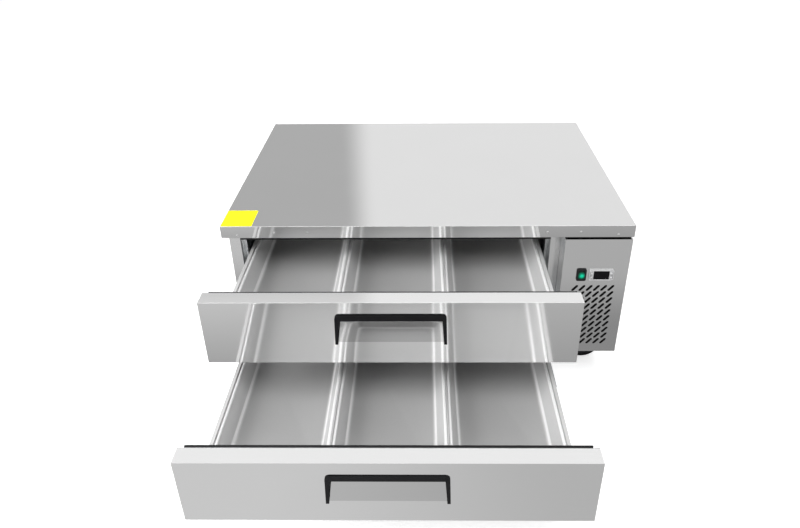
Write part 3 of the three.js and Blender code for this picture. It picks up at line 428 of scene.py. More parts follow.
@dataclass(frozen=True)
class PanSteel(PressedSteel):
    """Drawn pan steel with painted light: a painted highlight at the fillet and at the rim, and walls
    painted lighter than the floor.
    """

    floor: float = 0.0
    top: float = 65 * MM
    fillet: float = 14 * MM
    # The next two factors are painted light: a highlight at the fillet and the rim, and walls lighter than
    # the floor.
    highlight_gain: float = 1.5
    wall: float = 1.5
    edge: float = 3 * MM
    fillet_shares: Point = (0.08, 0.35, 0.7)
    edge_shares: Pair = (2.0, 0.8)

    def coat(self, surface: Surface, scuffs: Socket) -> None:
        """Paints the scuffs over a colour that goes by height: the plain floor, a painted highlight at the
        fillet, walls painted lighter and a painted highlight at the rim.

        Args:
            surface: The surface.
            scuffs: The socket of the scuffs.
        """
        depth = self.top - self.floor
        fillet, edge = self.fillet / depth, self.edge / depth
        plain_floor_end, start, end = (share * fillet for share in self.fillet_shares)
        below, rim = (1 - share * edge for share in self.edge_shares)
        # Painted light by height: the plain floor, a highlight at the fillet, lighter walls and a highlight
        # at the rim.
        stops = (
            (0.0, 1.0), (plain_floor_end, 1.0), (start, self.highlight_gain), (end, self.highlight_gain),
            (fillet, self.wall), (below, self.wall), (rim, self.highlight_gain), (1.0, self.highlight_gain),
        )
        level = surface.within(surface.part(surface.place, "Z"), self.floor, self.top)
        drawn = surface.ramp(level, [(at, tinted(self.colour, by)) for at, by in stops])
        scuffed = surface.ramp(scuffs, [(at, grey(by)) for at, by in self.tints])
        surface.give("Base Color", surface.mixed(1.0, drawn, scuffed, "MULTIPLY"))


@dataclass(frozen=True)
class ZincSheet(Finish):
    """Galvanised sheet with its spangle."""

    spangle: float = 14.0 * MM
    dust: Noise = Noise(120.0, 4.0, 0.6)
    dust_depth: float = 0.01 * MM
    dust_share: float = 0.4
    flake_span: Pair = (0.1, 0.7)
    tints: Tints = ((0.2, 0.84), (0.9, 1.12))
    worn: Pair = (0.07, 0.12)

    def cover(self, surface: Surface) -> None:
        """Draws the spangle and a fine dust.

        Args:
            surface: The surface.
        """
        surface.give("Metallic", 1.0)
        flakes = surface.cells(1.0 / self.spangle, "Color")
        dust = surface.noise(surface.place, self.dust)
        mixed = surface.sum(surface.span(flakes, *self.flake_span), dust, self.dust_share)
        self.tint(surface, mixed, self.tints)
        self.wear(surface, mixed, *self.worn)
        surface.relief(dust, self.dust_depth)


@dataclass(frozen=True)
class MouldedPlastic(Finish):
    """Moulded plastic with a fine grain and a faint mottle."""

    grain_pitch: float = 0.9 * MM
    grain_depth: float = 0.02 * MM
    shine: float = 0.3
    mottle: Noise = Noise(35.0, 3.0, 0.5)
    tints: Tints = ((0.3, 0.92), (0.7, 1.08))
    worn: Pair = (0.06, 0.08)

    def coat(self, surface: Surface) -> None:
        """Paints the mottle."""
        self.tint(surface, surface.noise(surface.place, self.mottle), self.tints)

    def cover(self, surface: Surface) -> None:
        """Draws the colour and the grain.

        Args:
            surface: The surface.
        """
        surface.give("Specular IOR Level", self.shine)
        self.coat(surface)
        grain = surface.noise(surface.place, Noise(1.0 / self.grain_pitch, 3.0, 0.6))
        self.wear(surface, grain, *self.worn)
        surface.relief(grain, self.grain_depth)


@dataclass(frozen=True)
class PaintedGlowPlastic(MouldedPlastic):
    """Clear coloured plastic over a small lamp: the lit colour, with a painted glow over the lamp and
    painted shade, nearly black, away from it.
    """

    spot: Point = (0.0, 0.0, 0.0)
    reach: float = 15 * MM
    dark: Colour = (0.004, 0.02, 0.014)
    tints: Tints = ((0.0, 1.25), (0.3, 1.0), (0.6, 0.3))

    def coat(self, surface: Surface) -> None:
        """Paints the painted glow that fades away from the lamp into painted shade.

        Args:
            surface: The surface.
        """
        away = surface.add("VectorMath", "Value", {0: surface.place, 1: self.spot}, operation="DISTANCE")
        stops = [(at, tinted(self.colour, by)) for at, by in self.tints]
        glow = surface.ramp(surface.within(away, 0.0, self.reach), stops + [(1.0, self.dark)])
        surface.give("Base Color", glow)


@dataclass(frozen=True)
class SprayedPaint(Finish):
    """Paint with a slight orange peel under a clear gloss."""

    coat: float = 0.35
    coat_roughness: float = 0.2
    peel: Noise = Noise(420.0, 2.0, 0.4)
    peel_depth: float = 0.03 * MM
    dust: Noise = Noise(22.0, 5.0, 0.65)
    tints: Tints = ((0.35, 1.0), (0.8, 1.7))
    worn: Pair = (0.05, 0.2)

    def cover(self, surface: Surface) -> None:
        """Draws the dust and the peel under the gloss.

        Args:
            surface: The surface.
        """
        surface.give("Coat Weight", self.coat)
        surface.give("Coat Roughness", self.coat_roughness)
        dust = surface.noise(surface.place, self.dust)
        self.tint(surface, dust, self.tints)
        self.wear(surface, dust, *self.worn)
        surface.relief(surface.noise(surface.place, self.peel), self.peel_depth)


@dataclass(frozen=True)
class CellFoam(Finish):
    """Rigid foam with its small open cells."""

    pores: float = 620.0
    pore_depth: float = 0.25 * MM
    stain: Noise = Noise(9.0, 4.0, 0.6)
    tints: Tints = ((0.3, 0.82), (0.75, 1.06))

    def cover(self, surface: Surface) -> None:
        """Draws the stain and the pores."""
        self.tint(surface, surface.noise(surface.place, self.stain), self.tints)
        surface.relief(surface.cells(self.pores, "Distance"), self.pore_depth)


@dataclass(frozen=True)
class FinStock(Finish):
    """Aluminium fins with copper tubes at the coil's ends."""

    middle: float = 0.0
    half: float = 0.1
    fin_pitch: float = 2.4 * MM
    fin_depth: float = 0.25 * MM
    copper: Colour = (0.62, 0.31, 0.19)
    tarnish: Noise = Noise(60.0, 4.0, 0.6)
    bands: float = 20.0
    fin_gap_shade_tints: Tints = ((0.2, 0.35), (0.7, 1.05))
    copper_tints: Tints = ((0.3, 0.7), (0.7, 1.0))
    worn: Pair = (0.08, 0.12)

    def cover(self, surface: Surface) -> None:
        """Draws the fins, with painted shade in the gaps between them, over the coil's middle and tarnished
        copper past it.

        Args:
            surface: The surface.
        """
        surface.give("Metallic", 1.0)
        scale = 1.0 / (self.fin_pitch * self.bands / (2 * math.pi))
        wave = surface.add("TexWave", "Fac", {"Scale": scale, "Vector": surface.place}, bands_direction="X")
        # Painted shade: the wave darkens the gaps between the fins.
        fins = surface.ramp(wave, [(at, tinted(self.colour, by)) for at, by in self.fin_gap_shade_tints])
        tarnish = surface.noise(surface.place, self.tarnish)
        copper = surface.ramp(tarnish, [(at, tinted(self.copper, by)) for at, by in self.copper_tints])
        finned = surface.near(surface.part(surface.place, "X"), self.middle, self.half)
        surface.give("Base Color", surface.mixed(finned, copper, fins))
        self.wear(surface, tarnish, *self.worn)
        surface.relief(wave, self.fin_depth)


@dataclass(frozen=True)
class DarkGlass(Finish):
    """The display's dark window, with the haze of fingerprints."""

    shine: float = 0.12
    haze: Noise = Noise(90.0, 5.0, 0.7)
    tints: Tints = ((0.4, 1.0), (0.75, 1.6))
    worn: Pair = (0.0, 0.12)

    def cover(self, surface: Surface) -> None:
        """Draws the haze.

        Args:
            surface: The surface.
        """
        surface.give("Specular IOR Level", self.shine)
        haze = surface.noise(surface.place, self.haze)
        self.tint(surface, haze, self.tints)
        self.wear(surface, haze, *self.worn)


@dataclass(frozen=True)
class Finishes:
    """Every finish of the cabinet, under a maker's plain name for it."""

    # The edge on the worktop and the fronts is a painted highlight on their outer folds.
    top: BrushedSteel = BrushedSteel("worktop_steel", grey(0.80), 0.04, Grain.ALONG_X, bow=0.16, edge=0.85)
    # The fronts' shade is painted shade in their handle pockets.
    upper_front: BrushedSteel = BrushedSteel(
        "upper_front_steel", grey(0.86), 0.06, Grain.ALONG_X, bow=0.22, shade=0.72, edge=0.85
    )
    lower_front: BrushedSteel = BrushedSteel(
        "lower_front_steel", grey(0.86), 0.07, Grain.ALONG_X, shade=0.78, edge=0.85
    )
    panel: BrushedSteel = BrushedSteel("machine_panel_steel", grey(0.78), 0.12, Grain.ALONG_Z)
    side: BrushedSteel = BrushedSteel("side_panel_steel", grey(0.76), 0.16, Grain.ALONG_Z)
    face: BrushedSteel = BrushedSteel("face_frame_steel", grey(0.78), 0.14, Grain.ALONG_X)
    liner: BrushedSteel = BrushedSteel("liner_steel", (0.68, 0.69, 0.69), 0.24, Grain.ALONG_Z)
    deck: PressedSteel = PressedSteel("drawer_deck_steel", grey(0.66), 0.34, metal=0.4)
    slide: PressedSteel = PressedSteel("slide_steel", (0.42, 0.42, 0.43), 0.27, metal=0.85)
    screw: PressedSteel = PressedSteel("screw_steel", grey(0.85), 0.12, 0.0)
    zinc: ZincSheet = ZincSheet("galvanised_sheet", (0.58, 0.59, 0.60), 0.36)
    plated: ZincSheet = ZincSheet("zinc_plate", (0.64, 0.645, 0.65), 0.28, 2.0 * MM)
    foam: CellFoam = CellFoam("wall_foam", (0.78, 0.70, 0.46), 0.9)
    seal: MouldedPlastic = MouldedPlastic("seal_rubber", (0.018, 0.018, 0.019), 0.6, 1.4 * MM, shine=0.2)
    handle: MouldedPlastic = MouldedPlastic("handle_black", (0.010, 0.010, 0.011), 0.5, 0.8 * MM, shine=0.1)
    bezel: PressedSteel = PressedSteel("bezel_silver", (0.74, 0.745, 0.75), 0.34, 0.01 * MM, 0.5)
    button: MouldedPlastic = MouldedPlastic("button_grey", (0.72, 0.72, 0.73), 0.45)
    rib: MouldedPlastic = MouldedPlastic("grip_rib_grey", (0.20, 0.20, 0.205), 0.5, shine=0.2)
    switch: MouldedPlastic = MouldedPlastic("switch_black", (0.014, 0.014, 0.015), 0.45, shine=0.25)
    gland: MouldedPlastic = MouldedPlastic("gland_black", (0.03, 0.03, 0.032), 0.5)
    blade: MouldedPlastic = MouldedPlastic("fan_blade_black", (0.035, 0.035, 0.038), 0.4)
    tread: MouldedPlastic = MouldedPlastic("tread_rubber", grey(0.010), 0.72, 2.2 * MM, 0.05 * MM, 0.12)
    core: MouldedPlastic = MouldedPlastic("wheel_core", (0.03, 0.03, 0.032), 0.5, shine=0.2)
    lever: MouldedPlastic = MouldedPlastic("brake_pedal", (0.05, 0.05, 0.052), 0.48)
    filter: MouldedPlastic = MouldedPlastic("filter_black", grey(0.008), 0.9, 3.0 * MM, 0.5 * MM, 0.05)
    paint: SprayedPaint = SprayedPaint("compressor_black", (0.018, 0.018, 0.02), 0.38)
    patch: MouldedPlastic = MouldedPlastic(
        "corner_film_yellow", (1.0, 0.98, 0.02), 0.7, 4.0 * MM, 0.006 * MM, 0.08
    )
    window: DarkGlass = DarkGlass("display_glass", (0.003, 0.003, 0.004), 0.06)


def placed(name: str, data: bpy.types.ID) -> bpy.types.Object:
    """Puts a new object into the scene.

    Args:
        name: Its name.
        data: Its mesh, lamp or camera.

    Returns:
        The object.
    """
    made = bpy.data.objects.new(name, data)
    bpy.context.scene.collection.objects.link(made)
    return made


def modify(piece: bpy.types.Object, name: str, kind: str, **settings: object) -> None:
    """Puts a modifier on an object.

    Args:
        piece: The object.
        name: The modifier's name.
        kind: Its type.
        settings: Its settings.
    """
    modifier = piece.modifiers.new(name, kind)
    for setting, value in settings.items():
        setattr(modifier, setting, value)


@dataclass(frozen=True)
class SoftFold:
    """Rounds the folds of a CAD solid and smooths its round faces, without touching its mesh."""

    radius: float = 0.8 * MM
    segments: int = 2
    sharp: float = math.radians(34)
    weld: float = 0.01 * MM
    flat: float = math.radians(0.6)
    weight: int = 80

    def smoothing(self) -> bpy.types.NodeTree:
        """The node group that drops the imported normals and shades every face smooth.

        Returns:
            The geometry node group.
        """
        name = "smooth_faces"
        known = bpy.data.node_groups.get(name)
        if known is not None:
            return known
        tree = bpy.data.node_groups.new(name, "GeometryNodeTree")
        for way in ("INPUT", "OUTPUT"):
            tree.interface.new_socket("Geometry", in_out=way, socket_type="NodeSocketGeometry")
        start = tree.nodes.new("NodeGroupInput")
        drop = tree.nodes.new("GeometryNodeRemoveAttribute")
        drop.inputs["Name"].default_value = "custom_normal"
        shade = tree.nodes.new("GeometryNodeSetShadeSmooth")
        end = tree.nodes.new("NodeGroupOutput")
        tree.links.new(start.outputs[0], drop.inputs["Geometry"])
        tree.links.new(drop.outputs["Geometry"], shade.inputs["Geometry"])
        tree.links.new(shade.outputs["Geometry"], end.inputs[0])
        return tree

    def soften(self, piece: bpy.types.Object) -> None:
        """Puts the modifiers on one piece.

        Args:
            piece: The CAD node's object.
        """
        modify(piece, "merge", "WELD", merge_threshold=self.weld)
        modify(piece, "plain_faces", "DECIMATE", decimate_type="DISSOLVE", angle_limit=self.flat)
        modify(piece, "smooth_faces", "NODES", node_group=self.smoothing())
        bevel = {"width": self.radius, "segments": self.segments, "angle_limit": self.sharp}
        modify(piece, "fold", "BEVEL", limit_method="ANGLE", harden_normals=False, **bevel)
        modify(piece, "weighted", "WEIGHTED_NORMAL", keep_sharp=True, weight=self.weight)


class Form:
    """A mesh under construction, made of turned, boxed and lofted parts."""

    def __init__(self) -> None:
        """Starts with no parts."""
        self.mesh = bmesh.new()

    def loft(self, rings: list[list[Point]], closed: bool = True) -> None:
        """Skins a row of rings.

        Args:
            rings: The rings, each with the same number of points.
            closed: Whether the first and last rings are filled.
        """
        grid = [[self.mesh.verts.new(point) for point in ring] for ring in rings]
        count = len(rings[0])
        for lower, upper in zip(grid, grid[1:]):
            for i in range(count):
                j = (i + 1) % count
                self.mesh.faces.new((lower[i], lower[j], upper[j], upper[i]))
        if closed:
            self.mesh.faces.new(list(reversed(grid[0])))
            self.mesh.faces.new(grid[-1])

    def turned(self, profile: list[Pair], centre: Point, axis: Axis, steps: int) -> None:
        """Turns a profile about an axis.

        Args:
            profile: Pairs of radius and height; a radius of nought closes an end.
            centre: Where height nought lies on the axis.
            axis: The axis it turns about.
            steps: The number of steps round.
        """
        place = Matrix.Translation(centre) @ axis.rotation()
        turns = [2 * math.pi * i / steps for i in range(steps)]
        rows: list[list[bmesh.types.BMVert]] = []
        for radius, height in profile:
            points = [(0, 0, height)]
            if radius > 0:
                points = [(radius * math.cos(turn), radius * math.sin(turn), height) for turn in turns]
            rows.append([self.mesh.verts.new(place @ Vector(point)) for point in points])
        for lower, upper in zip(rows, rows[1:]):
            for i in range(steps):
                j = (i + 1) % steps
                around = ((lower, i), (lower, j), (upper, j), (upper, i))
                corners = list(dict.fromkeys(row[k % len(row)] for row, k in around))
                if len(corners) > 2:
                    self.mesh.faces.new(corners)

    def box(self, low: Point, high: Point) -> None:
        """Adds a box between its lowest and its highest corner."""
        outline = ((low[0], low[1]), (high[0], low[1]), (high[0], high[1]), (low[0], high[1]))
        self.loft([[(x, y, z) for x, y in outline] for z in (low[2], high[2])])

    def close_seam(self) -> None:
        """Joins the points where a profile's end meets its start."""
        bmesh.ops.remove_doubles(self.mesh, verts=self.mesh.verts[:], dist=SEAM)

    def piece(
        self, name: str, finish: Finish, body: str, slot: str, fold: float = 0.0, smooth: float = 35.0
    ) -> bpy.types.Object:
        """Closes the form into an object that rides on a body.

        Args:
            name: The piece's name.
            finish: Its finish.
            body: The CAD body that it moves with.
            slot: The record's material slot; not used.
            fold: The radius that its edges are rounded to, or nought.
            smooth: The angle in degrees above which an edge stays sharp.

        Returns:
            The new object.
        """
        bmesh.ops.recalc_face_normals(self.mesh, faces=self.mesh.faces[:])
        for face in self.mesh.faces:
            face.smooth = True
        limit = math.radians(smooth)
        for edge in self.mesh.edges:
            edge.smooth = not (len(edge.link_faces) == 2 and edge.calc_face_angle(0.0) > limit)
        data = bpy.data.meshes.new(name)
        self.mesh.to_mesh(data)
        self.mesh.free()
        data.materials.append(finish.make())
        made = placed(name, data)
        if fold > 0:
            for edge in data.edges:
                edge.use_edge_sharp = False
            modify(made, "fold", "BEVEL", width=fold, segments=2, limit_method="ANGLE", angle_limit=limit)
            modify(made, "weighted", "WEIGHTED_NORMAL", keep_sharp=True)
        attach(made, body)
        LOG.info("piece %s rides on %s", name, body)
        return made


def quarter(steps: int) -> list[float]:
    """The angles of a quarter turn, both ends included."""
    return [math.pi / 2 * step / steps for step in range(steps + 1)]


def rounded(middle: Pair, width: float, length: float, radius: float, steps: int) -> list[Pair]:
    """A rectangle with round corners.

    Args:
        middle: Its middle.
        width: Its size along the first axis.
        length: Its size along the second axis.
        radius: Its corners' radius.
        steps: The steps in each corner.

    Returns:
        The points, anticlockwise.
    """
    points = []
    for corner, (sx, sy) in enumerate(((1, 1), (-1, 1), (-1, -1), (1, -1))):
        cx = middle[0] + sx * (width / 2 - radius)
        cy = middle[1] + sy * (length / 2 - radius)
        for step in range(steps + 1):
            angle = math.pi / 2 * (corner + step / steps)
            points.append((cx + radius * math.cos(angle), cy + radius * math.sin(angle)))
    return points


def middle_of(node: str) -> Point:
    """The middle of a CAD node's box."""
    low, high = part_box(node)
    return ((low.x + high.x) / 2, (low.y + high.y) / 2, (low.z + high.z) / 2)


def bare(name: str) -> tuple[bpy.types.Material, Graph]:
    """A new material without its shader.

    Args:
        name: The material's name.

    Returns:
        The material and the graph to build it with.
    """
    material = bpy.data.materials.new(name)
    material.use_nodes = True
    nodes = material.node_tree.nodes
    nodes.remove(nodes["Principled BSDF"])
    return material, Graph(material.node_tree)


@dataclass(frozen=True)
class SheetTone:
    """How bright a studio sheet looks in steel: a grey on the left, one on the right and one far off."""

    left: float
    right: float
    edge: Pair
    far: float
    turn: Pair
    across: str

    def soft(self, graph: Graph, along: Socket, span: Pair, first: object, last: float) -> Socket:
        """A value that changes softly along an axis.

        Args:
            graph: The material's graph.
            along: The socket of the place along the axis.
            span: Where the change starts and ends.
            first: The value before the change, or its socket.
            last: The value after the change.

        Returns:
            The socket of the value.
        """
        inputs = {"Value": along, "From Min": span[0], "From Max": span[1], "To Min": first, "To Max": last}
        return graph.add("MapRange", "Result", inputs, interpolation_type="SMOOTHSTEP")

    def make(self, name: str) -> bpy.types.Material:
        """Builds the sheet's material.

        Args:
            name: The material's name.

        Returns:
            The material.
        """
        material, graph = bare(name)
        place = graph.add("TexCoord", "Object", {})
        near = self.soft(graph, graph.part(place, "X"), self.edge, self.left, self.right)
        shown = self.soft(graph, graph.part(place, self.across), self.turn, near, self.far)
        graph.show("Material Output", graph.add("Emission", "Emission", {"Strength": shown}))
        return material


@dataclass(frozen=True)
class Lamp:
    """One soft square lamp, with its power in watts; mirrors don't show it."""

    name: str
    place: Point
    target: Point
    power: float
    size: float

    def build(self) -> None:
        """Hangs the lamp and turns it to its target."""
        data = bpy.data.lights.new(self.name, "AREA")
        data.energy = self.power
        data.size = self.size
        made = placed(self.name, data)
        made.location = self.place
        made.rotation_euler = (Vector(self.target) - Vector(self.place)).to_track_quat("-Z", "Y").to_euler()
        made.visible_glossy = False


@dataclass
class Studio:
    """The camera at the photograph's angle, the pale floor, the plain light and the sheets steel mirrors."""

    camera_place: Point = (-0.01615, -1.76573, 1.72949)
    turn: float = 0.01385
    tilt: float = -0.44635
    roll: float = 0.01036
    lens: float = 27.704
    shift: Pair = (-0.01754, -0.1396)
    floor_half: float = 9.0
    floor_colour: Colour = grey(0.8)
    floor_glow: float = 0.66
    floor_mirrored: float = 0.66
    rear_mirrored: float = 0.75
    rear_span: Pair = (-0.4, 0.1)
    world_glow: float = 0.42
    key: Lamp = Lamp("key_lamp", (-3.4, -1.4, 2.3), (0.0, 0.0, 0.4), 185.0, 2.4)
    top: Lamp = Lamp("top_lamp", (0.7, -1.5, 3.3), (0.2, -0.2, 0.3), 62.0, 1.8)
    wall_place: float = 5.0
    wall_span: Pair = (-7.0, 7.0)
    wall_height: float = 9.0
    wall_tone: SheetTone = SheetTone(
        left=0.5, right=0.9, edge=(-1.0, -0.6), far=0.95, turn=(4.0, 6.0), across="Z"
    )
    apron_span: Pair = (-3.0, 3.0)
    apron_depth: Pair = (-4.0, -0.12)
    apron_height: float = 3 * MM
    # The apron is darker to the right, and its darker grey near the cabinet is a painted shadow of the
    # cabinet on the floor, seen only in the steel.
    apron_tone: SheetTone = SheetTone(
        left=0.65, right=0.5, edge=(-0.5, 0.5), far=0.3, turn=(-0.8, -0.4), across="Y"
    )

    def seen(self, graph: Graph) -> Socket:
        """The factor that is one for what the camera, mirrors and glass see."""
        plain = graph.greater(graph.ray("Camera"), graph.ray("Glossy"))
        return graph.greater(plain, graph.ray("Transmission"))

    def rear_dimmed(self, graph: Graph) -> Socket:
        """How bright the white world looks.

        Mirrors see its open front side a little grey, so that pale steel doesn't clip from behind.

        Args:
            graph: The world's graph.

        Returns:
            The socket of the brightness.
        """
        place = graph.part(graph.add("TexCoord", "Generated", {}), "Y")
        first, last = self.rear_span
        inputs = {"From Min": first, "From Max": last, "To Min": self.rear_mirrored, "Value": place}
        return graph.greater(graph.ray("Camera"), graph.add("MapRange", "Result", inputs))

    def set_camera(self) -> None:
        """Places the camera where the photograph was taken from."""
        data = bpy.data.cameras.new("studio_camera")
        data.lens = self.lens
        data.shift_x, data.shift_y = self.shift
        camera = placed("studio_camera", data)
        axes = (
            Matrix.Rotation(self.turn, 3, "Z")
            @ Matrix.Rotation(self.tilt, 3, "X")
            @ Matrix.Rotation(self.roll, 3, "Y")
        )
        right, forward, up = (Vector((axes[0][i], axes[1][i], axes[2][i])) for i in range(3))
        turned = Matrix((right, up, -forward)).transposed().to_4x4()
        camera.matrix_world = Matrix.Translation(self.camera_place) @ turned
        bpy.context.scene.camera = camera

    def set_world(self) -> None:
        """A white world for what is seen and a plain soft one for what it lights."""
        world = bpy.data.worlds.new("studio_world")
        world.use_nodes = True
        graph = Graph(world.node_tree)
        light = graph.tree.nodes["Background"]
        graph.feed(light.inputs["Color"], WHITE)
        graph.feed(light.inputs["Strength"], self.world_glow)
        white = {"Color": WHITE, "Strength": self.rear_dimmed(graph)}
        both = {1: light.outputs["Background"], 2: graph.add("Background", "Background", white)}
        graph.show("World Output", graph.add("MixShader", "Shader", {"Fac": self.seen(graph), **both}))
        bpy.context.scene.world = world

    def set_floor(self) -> None:
        """A pale floor that looks white where it is lit and keeps the cabinet's shadow."""
        material, graph = bare("studio_floor")
        matt = graph.add("BsdfDiffuse", "BSDF", {"Color": (*self.floor_colour, 1.0)})
        power = graph.add("Math", "Value", {0: self.seen(graph), 1: self.floor_glow}, operation="MULTIPLY")
        glow = graph.add("Emission", "Emission", {"Strength": power})
        lit = graph.add("AddShader", "Shader", {0: matt, 1: glow})
        plain = graph.add("Emission", "Emission", {"Strength": self.floor_mirrored})
        shown = graph.add("MixShader", "Shader", {"Fac": graph.ray("Glossy"), 1: lit, 2: plain})
        graph.show("Material Output", shown)
        half = self.floor_half
        self.sheet("studio_floor", (-half, half), (-half, 0), (half, 0), material)

    def sheet(
        self, name: str, span: Pair, near: Pair, far: Pair, material: bpy.types.Material
    ) -> bpy.types.Object:
        """One flat sheet of the studio.

        Args:
            name: The sheet's name.
            span: Where it starts and ends along x.
            near: The place of its first edge, along y and z.
            far: The place of its other edge, along y and z.
            material: Its material.

        Returns:
            The new object.
        """
        left, right = span
        corners = [(left, *near), (right, *near), (right, *far), (left, *far)]
        data = bpy.data.meshes.new(name)
        data.from_pydata([Vector(corner) for corner in corners], [], [tuple(range(len(corners)))])
        data.materials.append(material)
        made = placed(name, data)
        return made

    def mirrored(self, sheet: bpy.types.Object) -> None:
        """Leaves a sheet to be seen in the steel alone, so that it neither lights nor hides anything."""
        for kind in ("camera", "diffuse", "transmission", "volume_scatter", "shadow"):
            setattr(sheet, f"visible_{kind}", False)

    def set_sheets(self) -> None:
        """The wall sheet behind and the apron in front, whose greys the steel shows; the apron's darker grey
        near the cabinet is a painted shadow.
        """
        foot, head = (self.wall_place, 0), (self.wall_place, self.wall_height)
        wall = self.wall_tone.make("wall_sheet_grey")
        self.mirrored(self.sheet("studio_wall_sheet", self.wall_span, foot, head, wall))
        front, back = ((place, self.apron_height) for place in self.apron_depth)
        apron = self.apron_tone.make("apron_sheet_grey")
        self.mirrored(self.sheet("studio_apron_sheet", self.apron_span, front, back, apron))

    def build(self) -> None:
        """Sets up the whole studio."""
        bpy.context.scene.view_settings.view_transform = "Standard"
        self.set_camera()
        self.set_world()
        self.set_floor()
        self.set_sheets()
        self.key.build()
        self.top.build()
        LOG.info("studio is set")


@dataclass
class Assembly:
    """What every sub-assembly has: the frame's nodes and the cabinet's finishes."""

    nodes: dict[str, bpy.types.Object]
    finishes: Finishes

    def coat(self, finish: Finish, radius: float, *names: str, segments: int = 2) -> None:
        """Gives CAD nodes their finish and, where they are folded sheet or mouldings, soft edges.

        Args:
            finish: The finish they take.
            radius: The radius of their soft edges, or nought for none.
            names: The nodes' names.
            segments: The steps in each soft edge.
        """
        for name in names:
            for slot in self.nodes[name].material_slots:
                slot.material = finish.make()
            if radius > 0:
                SoftFold(radius, segments).soften(self.nodes[name])
            LOG.info("node %s takes %s", name, finish.name)


